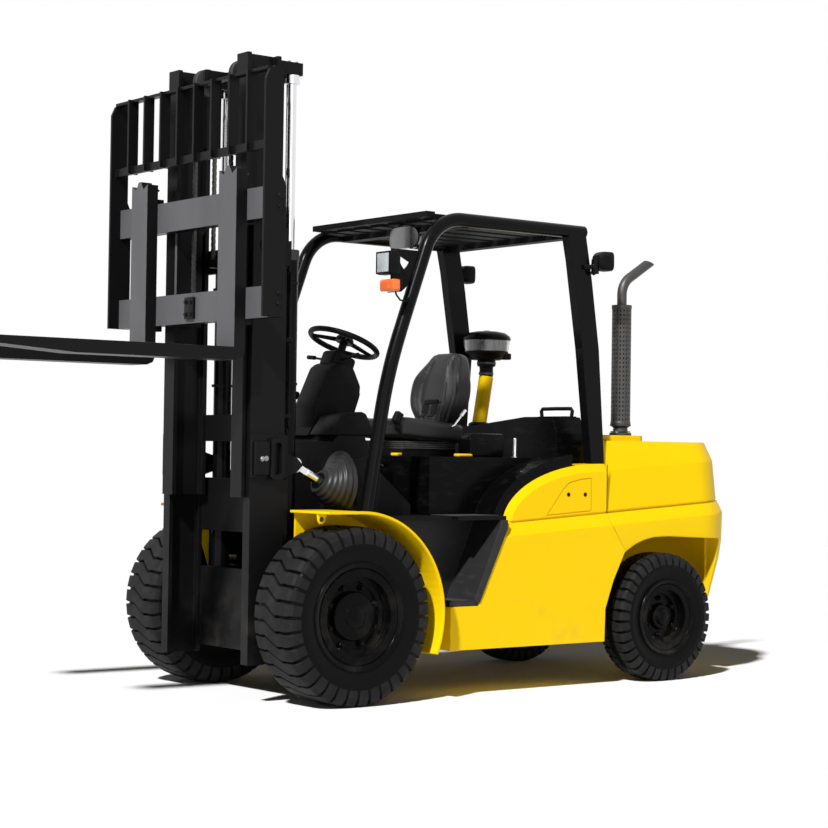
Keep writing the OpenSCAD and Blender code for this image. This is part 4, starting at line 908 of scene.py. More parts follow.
class Tread(Enum):
    """Kinds of tread, each with the stations of a lug from the middle outwards.

    A station holds y, outer radius and floor radius, then the shift and half width in pitches.
    """

    ACROSS = ((22, 420, 396, -0.18, 0.425), (45, 420, 396, -0.36, 0.425), (75, 420, 396, -0.31, 0.425),
              (100, 419, 396, -0.35, 0.42), (122, 416, 392, -0.36, 0.41), (136, 406, 384, -0.36, 0.39),
              (147, 386, 340, -0.36, 0.38), (149.5, 356, 340, -0.36, 0.37))
    SIDES = ((20, 338, 316, 0.1, 0.44), (48, 338, 316, 0.0, 0.44), (52, 338, 316, 0.0, 0.37),
             (76, 334, 312, 0.0, 0.365), (88, 322, 300, 0.0, 0.36), (94.2, 300, 280, 0.0, 0.36),
             (94.9, 286, 276, 0.0, 0.355))


RIM_FLANGE = ((176, 96), (186, 97), (190, 104), (199, 106), (203, 118), (212, 120), (216, 126), (226, 127),
              (230, 133), (240, 135), (246, 140), (254, 141), (258, 137), (252, 128), (236, 120), (216, 112),
              (200, 98), (176, 90), (176, 96))


@dataclass(frozen=True)
class WheelKind:
    """Sizes of one axle's wheels, with the middle of the left one."""

    axle: str
    centre: Point
    width: float
    seat_r: float
    rim_w: float
    lug_depth: float
    tread: Tread
    disc_face: float
    nut_count: int
    nut_circle_r: float
    nut_r: float
    hub_face: float
    hub_cap: tuple[Flat, ...]
    flange_scale: float
    flange_drop: float
    lug_count: int = 36


FRONT_WHEEL = WheelKind(
    axle="front", centre=(0.0, 587.5, 420.0), width=300.0, seat_r=200.0, rim_w=240.0, lug_depth=20.0,
    tread=Tread.ACROSS, disc_face=66.0, nut_count=8, nut_circle_r=142.0, nut_r=13.0, hub_face=96.5,
    hub_cap=((0, 8), (46, 8), (54, 4), (56, 0), (60, 0), (60, -2), (0, -2)),
    flange_scale=1.0, flange_drop=0.0)
REAR_WHEEL = WheelKind(
    axle="rear", centre=(-2064.0, 572.5, 338.0), width=190.0, seat_r=155.0, rim_w=150.0, lug_depth=16.0,
    tread=Tread.SIDES, disc_face=26.0, nut_count=6, nut_circle_r=97.0, nut_r=11.0, hub_face=52.5,
    hub_cap=((0, 20), (28, 19), (40, 12), (44, 0), (50, 0), (50, -2), (0, -2)),
    flange_scale=0.775, flange_drop=45.0)


@dataclass
class Wheel(Assembly):
    """One wheel: its tyre with lugs, nuts, valve, rim flange and hub cap."""

    kind: WheelKind
    side: int
    word: str

    def __post_init__(self) -> None:
        """Works out the wheel's body, middle, radius and outward direction."""
        x, y, self.radius = self.kind.centre
        self.body = Body(f"{self.kind.axle}_wheel_{self.word}")
        self.middle = at(x, self.side * y, self.radius)
        self.out = self.side * LEFT

    def section(self) -> list[Flat]:
        """Radius and y of the carcass under the lugs, from bead to bead."""
        floor, bead = self.radius - self.kind.lug_depth, self.kind.seat_r
        half, rim = self.kind.width / 2, self.kind.rim_w / 2
        tall = self.radius - bead
        outer = [
            (bead + 1, rim - 2), (bead + 24, rim), (bead + 34, rim + 9), (bead + 40, rim + 8),
            (bead + 0.36 * tall, half - 8), (bead + 0.52 * tall, half - 1), (bead + 0.56 * tall, half),
            (bead + 0.66 * tall, half - 2), (self.radius - 46, half - 6), (self.radius - 30, half - 16),
            (floor - 2, half - 34), (floor, half - 62)]
        if self.kind.tread is Tread.SIDES:
            outer += [(floor, 15), (self.radius - 1, 13)]
        return outer + [(r, -y) for r, y in reversed(outer)]

    def lug_ring(self, solid: Solid, station: Station, offset: float) -> list[bmesh.types.BMVert]:
        """Points round a lug at one station.

        Args:
            solid: The solid that gets the points.
            station: y, outer and floor radius, shift and half width.
            offset: Turn of the whole lug, in pitches.

        Returns:
            The six points.
        """
        y, top, floor, shift, half = station
        corners = ((floor, -half), (top - 3, 0.012 - half), (top, 0.04 - half),
                   (top, half - 0.04), (top - 3, half - 0.012), (floor, half))
        pitch = math.tau / self.kind.lug_count
        turns = [(r, (offset + shift + a) * pitch) for r, a in corners]
        return [solid.bm.verts.new(Vector((r * math.cos(t), y, r * math.sin(t))) / 1000) for r, t in turns]

    def lug_mesh(self) -> bpy.types.Mesh:
        """One pitch of lugs about the origin: one right across, or one on each side half a pitch apart."""
        solid = Solid()
        outer = list(self.kind.tread.value)
        inner = [(-y, top, floor, -shift, half) for y, top, floor, shift, half in reversed(outer)]
        across = self.kind.tread is Tread.ACROSS
        for stations, offset in [(inner + outer, 0.0)] if across else [(outer, 0.25), (inner, -0.25)]:
            solid.skin([self.lug_ring(solid, station, offset) for station in stations])
        return solid.mesh("lug", 20.0)

    def tyre(self) -> None:
        """Makes the carcass and its ring of lugs in place of the plain tyre."""
        node = f"{self.kind.axle}_tyre_{self.word}"
        carcass = Solid().turned(self.section() + self.section()[:1], self.middle, LEFT, 96)
        bmesh.ops.remove_doubles(carcass.bm, verts=carcass.bm.verts[:], dist=1e-6)
        # Groove floors get the pale rubber: dust and a painted highlight standing for the lit groove walls.
        floor, pale_groove_half = self.radius - self.kind.lug_depth - 9, self.kind.width / 2 - 12
        for face in carcass.bm.faces:
            place = (face.calc_center_median() - self.middle) * 1000
            face.material_index = int(math.hypot(place.x, place.z) > floor and abs(place.y) < pale_groove_half)
        body = carcass.piece(f"{node}_carcass", TYRE, self.body, 50.0)
        body.data.materials.append(GROOVE.material())
        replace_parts(body, node)
        lugs = self.repeat.ring.run(f"{node}_lugs", self.lug_mesh(), TREAD, {
            "Count": self.kind.lug_count, "Axis": Axis.Y.value, "Centre": tuple(self.middle)})
        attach(lugs, self.body.value)
        log.info("%s has %d pitches of lugs", node, self.kind.lug_count)

    def fittings(self) -> None:
        """Makes the nuts and the valve."""
        circle, face = self.kind.nut_circle_r, self.kind.disc_face
        places = []
        for i in range(self.kind.nut_count):
            a = math.tau * (i + 0.5) / self.kind.nut_count
            foot = Vector((circle * math.cos(a), self.side * (face + 2), circle * math.sin(a)))
            places.append((self.middle + foot / 1000, self.out))
        self.repeat.bolt_set(
            f"{self.body.value}_nuts", places, self.kind.nut_r / 1000, self.body, RIM_BLACK, 0.018)
        reach = circle + 28
        valve = [self.middle + Vector((reach * 0.5, self.side * (face + d), -reach * 0.866)) / 1000
                 for d in (-2, 10, 26)]
        Solid().tube(valve, 0.0042, 8).piece(f"{self.body.value}_valve", DARK_STEEL, self.body)

    def flange(self) -> None:
        """Makes the stepped flange round the rim."""
        profile = [(r * self.kind.flange_scale, h - self.kind.flange_drop) for r, h in RIM_FLANGE]
        Solid().turned(profile, self.middle, self.out, 72).piece(
            f"{self.body.value}_flange", RIM_BLACK, self.body)

    def hub_cap(self) -> None:
        """Makes the turned cap over the hub."""
        Solid().turned(self.kind.hub_cap, self.middle + self.out * self.kind.hub_face / 1000, self.out).piece(
            f"{self.kind.axle}_hub_cap_{self.word}", RIM_BLACK, self.body)


@dataclass
class Wheels(Assembly):
    """The four wheels."""

    def build(self) -> None:
        """Makes the tyres, fittings, flanges and caps of each side."""
        for side, word in BOTH_SIDES:
            wheels = [Wheel(self.repeat, kind, side, word) for kind in (FRONT_WHEEL, REAR_WHEEL)]
            for make in (Wheel.tyre, Wheel.fittings, Wheel.flange, Wheel.hub_cap):
                for wheel in wheels:
                    make(wheel)


@dataclass
class ChainSet(Assembly):
    """The leaf chains, made of plates and pins, standing for the plain chain bars."""

    chain_y: float = 160.0
    pitch: float = 31.0
    plate_w: float = 15.0
    plate_t: float = 3.2
    rear_x: float = 277.0
    front_x: float = 387.0
    sheave_z: float = 2985.0
    rear_low_z: float = 2119.0
    front_low_z: float = 1935.0

    def link(self, x: float, z: float, side: int, pitch: float) -> bpy.types.Mesh:
        """One pitch of chain: two sets of plates and a pin.

        Args:
            x: Middle of the chain.
            z: Lower end of the pitch.
            side: 1 on the left and -1 on the right.
            pitch: Length of one pitch.

        Returns:
            The mesh of the link.
        """
        solid = Solid()
        y = side * self.chain_y
        r = self.plate_w / 2
        for shift, offsets in ((0.0, (-8.6, -1.8, 5.0)), (0.5, (-5.2, 1.6, 8.4))):
            low, high = z + shift * pitch + r * 0.9, z + (shift + 0.82) * pitch - r * 0.3
            outline = []
            for end, start in ((low, math.pi), (high, 0.0)):
                for k in range(7):
                    a = start + math.pi * k / 6
                    outline.append(at(x + r * math.cos(a), y, end + r * math.sin(a)))
            for offset in offsets:
                solid.prism([p + Vector((0, (offset - self.plate_t / 2) / 1000, 0)) for p in outline],
                            Vector((0, self.plate_t / 1000, 0)))
        for shift in (0.25, 0.75):
            solid.tube([at(x, y - 11.5, z + shift * pitch), at(x, y + 11.5, z + shift * pitch)], 0.0032, 8)
        return solid.mesh("chain_link", 40.0)

    def run(
        self, name: str, x: float, low: float, side: int, bodies: tuple[Body, Body]
    ) -> bpy.types.Object:
        """One run of chain from its lower end up to the sheave, baked in place.

        Args:
            name: Name of the piece.
            x: Middle of the run.
            low: Its lower end.
            side: 1 on the left and -1 on the right.
            bodies: The bodies at its lower and upper ends. Not used.

        Returns:
            The finished run.
        """
        count = max(1, round((self.sheave_z - low - 10) / self.pitch))
        pitch = (self.sheave_z - low - 10) / count
        made = self.repeat.row.run(name, self.link(x, low, side, pitch), CHAIN, {
            "Count": count, "Step": (0.0, 0.0, pitch / 1000)})
        at(x, 0, low + 20)
        at(x, 0, self.sheave_z - 20)
        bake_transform(made)
        log.info("%s has %d links", name, count)
        return made

    def build(self) -> None:
        """Makes the four runs of chain."""
        for side, word in BOTH_SIDES:
            rear = self.run(
                f"rear_chain_{word}", self.rear_x, self.rear_low_z, side, (Body.MAST, Body.INNER))
            front = self.run(
                f"front_chain_{word}", self.front_x, self.front_low_z, side, (Body.CARRIAGE, Body.INNER))
            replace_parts(rear, "rear_chains")
            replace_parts(front, "front_chains")


@dataclass
class Seat(Assembly):
    """The driver's seat: two cushions, rails, skirt, belt and levers."""

    rear_x: float = -1040.0
    front_x: float = -600.0
    half_w: float = 235.0
    low_z: float = 1248.0
    thick: float = 112.0
    back_x: float = -1046.0
    back_low_z: float = 1310.0
    back_h: float = 404.0
    back_half_w: float = 203.0
    back_thick: float = 96.0
    lean: float = 9.0
    cuts: int = 30

    def pad(self, half: Vector, power: float) -> list[tuple[bmesh.types.BMVert, Vector]]:
        """Starts a plump block whose points carry their place on it.

        Args:
            half: Half sizes in metres.
            power: How square the block is.

        Returns:
            The points, each with its place from -1 to 1 on each axis.
        """
        self.solid = Solid()
        bmesh.ops.create_cube(self.solid.bm, size=2.0)
        edges = self.solid.bm.edges[:]
        bmesh.ops.subdivide_edges(self.solid.bm, edges=edges, cuts=self.cuts, use_grid_fill=True)
        points = []
        for vert in self.solid.bm.verts:
            c = vert.co.copy()
            q = c / sum(abs(v) ** power for v in c) ** (1 / power)
            vert.co = Vector((q.x * half.x, q.y * half.y, q.z * half.z))
            points.append((vert, q))
        return points

    def cushion(self) -> None:
        """Makes the seat cushion with side bolsters and sewn channels."""
        half = Vector(((self.front_x - self.rear_x) / 2000, self.half_w / 1000, self.thick / 2000))
        for vert, q in self.pad(half, 7.0):
            top = smoothstep(0.0, 0.6, q.z)
            bolster = smoothstep(0.6, 0.8, abs(q.y)) * (1 - 0.6 * smoothstep(0.86, 1.0, abs(q.y)))
            crown = (1 - q.x ** 2) * (1 - min(abs(q.y) / 0.66, 1.0) ** 2)
            sewn = sum(math.exp(-(((q.x - c) / 0.035) ** 2)) for c in (-0.45, -0.05, 0.35))
            seam = math.exp(-(((abs(q.y) - 0.64) / 0.03) ** 2))
            inside = 1 - smoothstep(0.58, 0.64, abs(q.y))
            dips = 0.007 * sewn * inside + 0.009 * seam + 0.014
            vert.co.z += top * (0.012 * bolster + 0.010 * crown - dips)
            vert.co.y *= 1 - 0.035 * (1 - q.x ** 4)
            vert.co.x += 0.012 * q.z * smoothstep(0.7, 1.0, q.x)
        middle = at((self.rear_x + self.front_x) / 2, 0, self.low_z + self.thick / 2)
        for vert in self.solid.bm.verts:
            vert.co += middle + Vector((0, 0, 0.018 * (vert.co.x / half.x)))
        made = self.solid.piece("seat_cushion_pad", VINYL, Body.HOOD, 70.0)
        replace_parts(made, "seat_cushion")

    def backrest(self) -> None:
        """Makes the back cushion: a raised grey panel between dark wings, widest at the waist."""
        half = Vector((self.back_thick / 2000, self.back_half_w / 1000, self.back_h / 2000))
        panel = set()
        for vert, q in self.pad(half, 6.0):
            face = smoothstep(0.0, 0.7, q.x)
            inside = 1 - smoothstep(0.5, 0.58, abs(q.y))
            wing = smoothstep(0.62, 0.95, abs(q.y)) * (1 - smoothstep(0.3, 0.95, abs(q.z + 0.1)))
            crown = (1 - q.z ** 2) * (1 - min(abs(q.y) / 0.6, 1.0) ** 2)
            edge = math.exp(-(((abs(q.y) - 0.5) / 0.05) ** 2)) * (1 - smoothstep(0.7, 0.86, abs(q.z)))
            seam = math.exp(-(((abs(q.y) - 0.6) / 0.035) ** 2))
            vert.co.x += face * (0.026 * wing + 0.008 * crown + 0.010 * edge - 0.012 * seam - 0.012)
            if q.x > 0.5 and abs(q.y) < 0.58 and abs(q.z) < 0.9:
                panel.add(vert)
            vert.co.x += face * inside * 0.006
            narrow = 0.34 * smoothstep(-0.1, 1.0, q.z) ** 1.3 + 0.3 * smoothstep(0.1, 1.0, -q.z) ** 1.2
            vert.co.y *= 1 - narrow
            vert.co.x -= 0.018 * smoothstep(0.3, 1.0, q.z)
        tilt = Matrix.Rotation(math.radians(-self.lean), 3, "Y")
        middle = at(self.back_x, 0, self.back_low_z + self.back_h / 2)
        for vert in self.solid.bm.verts:
            vert.co = tilt @ vert.co + middle
        for face in self.solid.bm.faces:
            face.material_index = int(all(v in panel for v in face.verts))
        made = self.solid.piece("seat_back_pad", VINYL, Body.HOOD, 70.0)
        made.data.materials.append(VINYL_GREY.material())
        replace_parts(made, "seat_back")

    def fittings(self) -> None:
        """Makes the seat's rails, bellows skirt, recline lever and buckle."""
        solid = Solid()
        for y in (-150, 150):
            solid.block(at(self.rear_x + 60, y - 16, 1172), at(self.front_x - 40, y + 16, 1190), 0.003)
            solid.block(at(self.rear_x + 60, y - 11, 1190), at(self.front_x - 50, y + 11, 1204), 0.003)
        solid.piece("seat_rails", DARK_STEEL, Body.HOOD)
        folds = Solid()
        for i in range(4):
            z = 1206 + i * 10
            folds.block(at(self.rear_x + 56, -204, z), at(self.front_x - 36, 204, z + 8), 0.0035)
        folds.piece("seat_skirt", MAT_RUBBER, Body.HOOD)
        lever = Solid().tube([at(-930, 232, 1322), at(-945, 238, 1332), at(-990, 240, 1384)], 0.006, 10)
        lever.tube([at(-984, 240, 1377), at(-1000, 240, 1396), at(-1012, 240, 1409)], 0.011, 12)
        lever.piece("seat_recline_lever", CHROME, Body.HOOD)
        lean = Matrix.Rotation(math.radians(-30), 3, "Y")
        buckle = Solid().block(at(-612, 196, 1332), at(-572, 232, 1392), 0.006, lean)
        buckle.tube([at(-600, 214, 1310), at(-597, 214, 1330), at(-592, 214, 1350)], 0.008, 10)
        buckle.piece("seat_buckle", PLASTIC, Body.HOOD)

    def belt(self) -> None:
        """Makes the belt that hangs in front of the back and over the cushion's edge."""
        for word, y, out in (("inner", 8, 0), ("outer", 84, 4)):
            path = [(-966, 1452), (-945, 1448), (-934, 1425), (-928, 1392), (-905, 1376)]
            rings = []
            solid = Solid()
            for i, (x, z) in enumerate(path):
                low, high = path[max(i - 1, 0)], path[min(i + 1, len(path) - 1)]
                along = Vector((high[0] - low[0], 0, high[1] - low[1])).normalized()
                over = along.cross(LEFT) * 0.0022
                across = LEFT * 0.023
                middle = at(x + out, y, z)
                rings.append([solid.bm.verts.new(middle + a * across + b * over)
                              for a, b in ((-1, -1), (1, -1), (1, 1), (-1, 1))])
            solid.skin(rings).piece(f"seat_belt_{word}", PLASTIC, Body.HOOD)
        guide = Solid().block(at(-952, -8, 1440), at(-934, 100, 1466), 0.006)
        guide.piece("seat_belt_guide", PLASTIC, Body.HOOD)

    def build(self) -> None:
        """Makes the whole seat."""
        self.cushion()
        self.backrest()
        self.fittings()
        self.belt()


@dataclass
class TiltGear(Assembly):
    """The tilt cylinders' rubber boots and glands."""

    base: Point = (-620.0, 356.0, 730.0)
    angle: float = 27.4744
    mouth_x: float = -139.0
    collar_at: float = 684.0
    mouth_r: float = 146.0
    mouth_lift: float = 60.0
    collar_r: float = 58.0
    folds: int = 6
    fold_depth: float = 9.0

    def along(self, distance: float, side: int) -> Vector:
        """Point on a cylinder's line at a distance from its base pin."""
        a = math.radians(self.angle)
        x, y, z = self.base
        return at(x + distance * math.cos(a), side * y, z + distance * math.sin(a))

    def boot(self, side: int, word: str) -> bpy.types.Object:
        """One bellows, its mouth on the cowl and its collar on the cylinder."""
        a = math.radians(self.angle)
        mouth = (self.mouth_x - self.base[0]) / math.cos(a)
        solid = Solid()
        rings = []
        steps = 4 * self.folds
        for i in range(steps + 1):
            t = i / steps
            lean = math.radians(self.angle) * t
            lift = UP * self.mouth_lift / 1000 * (1 - t) ** 1.5
            middle = self.along(mouth + (self.collar_at - mouth) * t, side) + lift
            normal = Vector((math.cos(lean), 0, math.sin(lean)))
            rise = Vector((-normal.z, 0, normal.x))
            fold = self.fold_depth * (0.5 - 0.5 * math.cos(math.tau * i / 4))
            r = self.mouth_r + (self.collar_r - self.mouth_r) * t - fold * (1 - 0.4 * t)
            tall = r * (1 + 0.04 * (1 - t))
            rings.append([
                solid.bm.verts.new(middle + (r * math.cos(math.tau * k / 56) * LEFT
                                             + tall * math.sin(math.tau * k / 56) * rise) / 1000)
                for k in range(56)])
        collar, last = self.along(self.collar_at, side), self.along(self.collar_at + 1, side)
        rings.append([solid.bm.verts.new(last + (v.co - collar) * 0.78) for v in rings[-1]])
        solid.skin(rings)
        made = new_object(f"tilt_boot_{word}", solid.mesh("boot", 60.0), BOOT)
        self.along(mouth, side)
        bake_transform(made)
        log.info("tilt boot on the %s", word)
        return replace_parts(made, "tilt_boots")

    def build(self) -> None:
        """Makes both boots and the rods' glands."""
        for side, word in BOTH_SIDES:
            self.boot(side, word)
            a = math.radians(self.angle)
            axis = Vector((math.cos(a), 0, math.sin(a)))
            ring = [(24, 0), (39, 0), (40, 1), (40, 3), (38, 4), (24, 4), (24, 0)]
            Solid().turned(ring, self.along(685, side), axis).piece(f"tilt_gland_{word}", STEEL, Body.BARREL)


@dataclass
class MastFittings(Assembly):
    """What is bolted to the mast: brackets, pipes, roller caps and cylinder fittings."""

    half_w: float = 386.0
    rail_x0: float = 209.0
    lift_x: float = 130.0
    lift_y: float = 284.0
    barrel_top_z: float = 2140.0

    def side_bracket(self, side: int, word: str) -> None:
        """The slotted bracket on a rail's outer face."""
        y = side * (self.half_w + 14)
        rim, hole = (
            [at(x, y, z) for x, z in cut_corners(*sizes)]
            for sizes in (((228, 1052), (304, 1246), (12, 10)), ((246, 1074), (286, 1224), (8, 8))))
        Solid().holed(rim, hole, side * LEFT * 0.022).piece(
            f"mast_bracket_slot_{word}", MAST_BLACK, Body.MAST)
        low_y, high_y = sorted((y, y + side * 16))
        Solid().block(at(306, low_y, 1070), at(392, high_y, 1228), 0.006).piece(
            f"mast_bracket_plate_{word}", MAST_BLACK, Body.MAST)
        bolts = [(at(x, y + side * 16, z), side * LEFT) for x, z in ((330, 1150), (352, 1148))]
        self.repeat.bolt_set(f"mast_bracket_bolts_{word}", bolts, 0.0085, Body.MAST)

    def pipes(self) -> None:
        """The steel oil pipes behind the left rail and across to both cylinders."""
        x = self.rail_x0 - 34
        solid = Solid()
        for i, y in enumerate((352, 368)):
            low, high = 1262 + 24 * i, 2060 - 24 * i
            path = [at(x - 12, y - 26, low), at(x - 6, y - 8, low + 8), at(x, y, low + 30), at(x, y, 1600),
                    at(x, y, high - 30), at(x - 6, y - 8, high - 8), at(x - 12, y - 26, high)]
            solid.tube(path, 0.007, 10)
        for z in (1340, 1700):
            solid.block(at(x - 10, 342, z), at(self.rail_x0 + 1, 378, z + 22), 0.003)
        cross = [at(self.lift_x - 39, self.lift_y - 21, 618), at(self.lift_x - 62, self.lift_y - 40, 612),
                 at(self.lift_x - 66, 120, 606), at(self.lift_x - 66, -120, 606),
                 at(self.lift_x - 62, 40 - self.lift_y, 612), at(self.lift_x - 39, 21 - self.lift_y, 618)]
        solid.tube(cross, 0.008, 10)
        solid.piece("mast_oil_pipes", GUARD_BLACK, Body.MAST)

    def cylinders(self) -> None:
        """Glands, feet and brass ports of the lift cylinders."""
        for side, word in BOTH_SIDES:
            y = side * self.lift_y
            gland = [(25.4, 8), (47, 8), (50, 5), (50, -42), (47, -45), (45.4, -45), (45.4, 0), (25.4, 0)]
            Solid().turned(gland, at(self.lift_x, y, self.barrel_top_z), UP).piece(
                f"lift_gland_{word}", DARK_STEEL, Body.MAST)
            port = [(0, 0), (17, 0), (17, 14), (12, 16), (12, 30), (15, 32), (15, 44), (9, 48), (0, 48)]
            Solid().turned(port, at(self.lift_x - 40, y - side * 12, 652), BACK, 6).piece(
                f"lift_port_{word}", BRASS, Body.MAST)
            band = [(45.3, 0), (49, 1), (49, 13), (45.3, 14)]
            bands = Solid()
            for z in (900, 1500, 1980):
                bands.turned(band, at(self.lift_x, y, z), UP)
                bands.block(at(self.lift_x + 40, y - 18, z), at(self.rail_x0 - 24, y + 18, z + 14), 0.002)
            bands.piece(f"lift_bands_{word}", MAST_BLACK, Body.MAST)

    def caps(self) -> None:
        """Roller pin caps on the rails, bolts of the cross plates and the top plates."""
        places = []
        for side, word in BOTH_SIDES:
            cap = [(0, 6), (26, 6), (30, 3), (30, 0), (0, 0)]
            Solid().turned(cap, at(332, side * self.half_w, 2150), side * LEFT).piece(
                f"roller_cap_{word}", MAST_BLACK, Body.MAST)
            for y, z in ((300, 850), (300, 990), (240, 300), (240, 520)):
                places.append((at(185, side * y, z), BACK))
        self.repeat.bolt_set("mast_cross_bolts", places, 0.011, Body.MAST)
        heads = [(at(130 + dx, side * (self.lift_y + dy), 3045), UP)
                 for side in (1, -1) for dx in (-22, 22) for dy in (-10, 10)]
        self.repeat.bolt_set("mast_head_bolts", heads, 0.008, Body.INNER)

    def build(self) -> None:
        """Makes all of the mast's fittings."""
        for side, word in BOTH_SIDES:
            self.side_bracket(side, word)
        self.pipes()
        self.cylinders()
        self.caps()


@dataclass
class CarriageFittings(Assembly):
    """Fork locks, stops and bolts on the carriage and its backrest."""

    fork_y: float = 400.0
    bar_low_z: float = 1790.0
    bar_front_x: float = 497.0
    stop_thick: float = 16.0

    def build(self) -> None:
        """Makes the fork pins, the lower bar's stop and the backrest's bolts."""
        for side, word in BOTH_SIDES:
            pin = Solid().tube([at(470, side * self.fork_y, z) for z in (2410, 2450, 2462)], 0.011, 12)
            pin.block(at(462, side * self.fork_y - 34, 2458), at(478, side * self.fork_y + 34, 2470), 0.005)
            pin.piece(f"fork_pin_{word}", DARK_STEEL, Body.CARRIAGE)
        stop_x = self.bar_front_x + self.stop_thick
        stop = Solid().block(
            at(self.bar_front_x, -40, self.bar_low_z + 20), at(stop_x, 40, self.bar_low_z + 125), 0.004)
        stop.piece("carriage_stop", MAST_BLACK, Body.CARRIAGE)
        places = [(at(stop_x, y, z), FORWARD) for y in (-22, 22) for z in (1832, 1892)]
        places += [(at(470, side * 704, z), side * LEFT)
                   for side in (1, -1) for z in (1850, 1900, 2290, 2340)]
        self.repeat.bolt_set("carriage_bolts", places, 0.009, Body.CARRIAGE, MAST_BLACK)


@dataclass
class Lamps(Assembly):
    """Work lamps and signal lamps with their brackets and wires, and the mirror's rim."""

    front_y0: float = 477.0
    front_y1: float = 591.0
    back_x: float = -310.0
    face_x: float = -250.0
    lamp_z0: float = 2042.0
    lamp_z1: float = 2155.0
    signal_y0: float = 500.0
    signal_y1: float = 609.0
    signal_z0: float = 1960.0
    signal_z1: float = 2018.0
    rear_y: float = 566.0
    rear_z: float = 2200.0
    mirror_y: float = 190.0
    mirror_z: float = 2272.0

    def front(self, side: int, word: str) -> None:
        """A front work lamp and signal on their holed bracket."""
        low_y, high_y = sorted((side * self.front_y0, side * self.front_y1))
        x0, x1, z0, z1 = self.back_x, self.face_x, self.lamp_z0, self.lamp_z1
        outline = [(x0 + 6, z0), (x1 - 6, z0), (x1, z0 + 6), (x1, z1 - 6), (x1 - 6, z1), (x0 + 14, z1),
                   (x0, z1 - 20), (x0, z0 + 12)]
        case = Solid().plate(outline, low_y, high_y - low_y, 0.005)
        shell = case.piece(f"work_lamp_case_{word}", PLASTIC, Body.CHASSIS)
        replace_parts(shell, "front_lamps")
        lens = Solid().block(at(x1 - 3, low_y + 9, z0 + 9), at(x1 + 5, high_y - 9, z1 - 9), 0.004)
        lens.piece(f"work_lamp_lens_{word}", GLASS_LENS, Body.CHASSIS)
        rim = Solid()
        for low, high in ((z0 + 3, z0 + 10), (z1 - 10, z1 - 3)):
            rim.block(at(x1 - 2, low_y + 3, low), at(x1 + 7, high_y - 3, high), 0.002)
        for low, high in ((low_y + 3, low_y + 10), (high_y - 10, high_y - 3)):
            rim.block(at(x1 - 2, low, z0 + 3), at(x1 + 7, high, z1 - 3), 0.002)
        rim.piece(f"work_lamp_rim_{word}", PLASTIC, Body.CHASSIS)
        low_y, high_y = sorted((side * self.signal_y0, side * self.signal_y1))
        z0, z1 = self.signal_z0, self.signal_z1
        Solid().block(at(x0 + 10, low_y, z0), at(x1, high_y, z1), 0.01).piece(
            f"signal_lens_{word}", AMBER_LENS, Body.CHASSIS)
        Solid().block(at(x0, low_y - 1, z0 - 2), at(x0 + 13, high_y + 1, z1 + 2), 0.005).piece(
            f"signal_base_{word}", PLASTIC, Body.CHASSIS)
        self.bracket(side, word)
        wire = [at(-308, side * 548, 1974), at(-316, side * 552, 1946), at(-340, side * 552, 1922),
                at(-378, side * 548, 1918), at(-404, side * 542, 1940), at(-412, side * 536, 1972)]
        Solid().tube(wire, 0.0045, 8).piece(f"lamp_wire_{word}", PLASTIC, Body.CHASSIS)

    def bracket(self, side: int, word: str) -> None:
        """The plate between guard tube and lamps, with its three-cornered hole."""
        rim = [(-306, 2172), (-473, 2172), (-412, 2004), (-374, 1972), (-306, 1966), (-306, 2070)]
        hole = [(-352, 2142), (-416, 2112), (-402, 2092), (-383, 2073), (-363, 2096), (-352, 2120)]
        rim, hole = ([at(x, side * 515, z) for x, z in points] for points in (rim, hole))
        Solid().holed(rim, hole, side * LEFT * 0.01).piece(f"lamp_bracket_{word}", GUARD_BLACK, Body.CHASSIS)

    def rear(self, side: int, word: str) -> None:
        """A squarish rear work lamp on its arm."""
        y, z = side * self.rear_y, self.rear_z
        arm = Solid()
        arm.tube([at(-1540, side * 552, z - 36), at(-1580, y, z - 34), at(-1618, y, z - 20)], 0.013, 12)
        arm.tube([at(-1606, y, z - 70), at(-1602, y, z - 30), at(-1606, y, z + 6)], 0.02, 16)
        arm.piece(f"rear_lamp_arm_{word}", GUARD_BLACK, Body.CHASSIS)
        solid = Solid()
        rings = []
        for x, half in ((-1608, 18), (-1612, 30), (-1636, 46), (-1650, 50), (-1690, 51), (-1694, 50),
                        (-1694, 44), (-1686, 43)):
            ring = []
            for k in range(32):
                c, s = math.cos(math.tau * k / 32), math.sin(math.tau * k / 32)
                size = half / (abs(c) ** 5 + abs(s) ** 5) ** 0.2
                ring.append(solid.bm.verts.new(at(x, y + size * c, z + size * s)))
            rings.append(ring)
        shell = solid.skin(rings).piece(f"rear_lamp_case_{word}", PLASTIC, Body.CHASSIS)
        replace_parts(shell, "rear_lamps")
        Solid().block(at(-1692, y - 42, z - 42), at(-1685, y + 42, z + 42), 0.003).piece(
            f"rear_lamp_lens_{word}", GLASS_LENS, Body.CHASSIS)
        loop = [at(-1618, y, z - 40), at(-1612, y, z - 66), at(-1594, y, z - 74), at(-1574, y, z - 62),
                at(-1560, side * 552, z - 44)]
        Solid().tube(loop, 0.004, 8).piece(f"rear_lamp_wire_{word}", PLASTIC, Body.CHASSIS)

    def mirror(self) -> None:
        """The dark rim round the mirror's long face."""
        path = []
        for k in range(49):
            a = math.tau * k / 48 - math.pi / 2
            y = 55 * math.cos(a) + (65 if math.cos(a) > 0 else -65)
            sag = 400 - math.sqrt(400 ** 2 - y ** 2)
            path.append(at(-620 - sag, self.mirror_y + y, self.mirror_z + 55 * math.sin(a)))
        Solid().tube(path, 0.005, 8).piece("mirror_rim", PLASTIC, Body.CHASSIS)

    def build(self) -> None:
        """Makes all the lamps and the mirror's rim."""
        for side, word in BOTH_SIDES:
            self.front(side, word)
            self.rear(side, word)
        self.mirror()


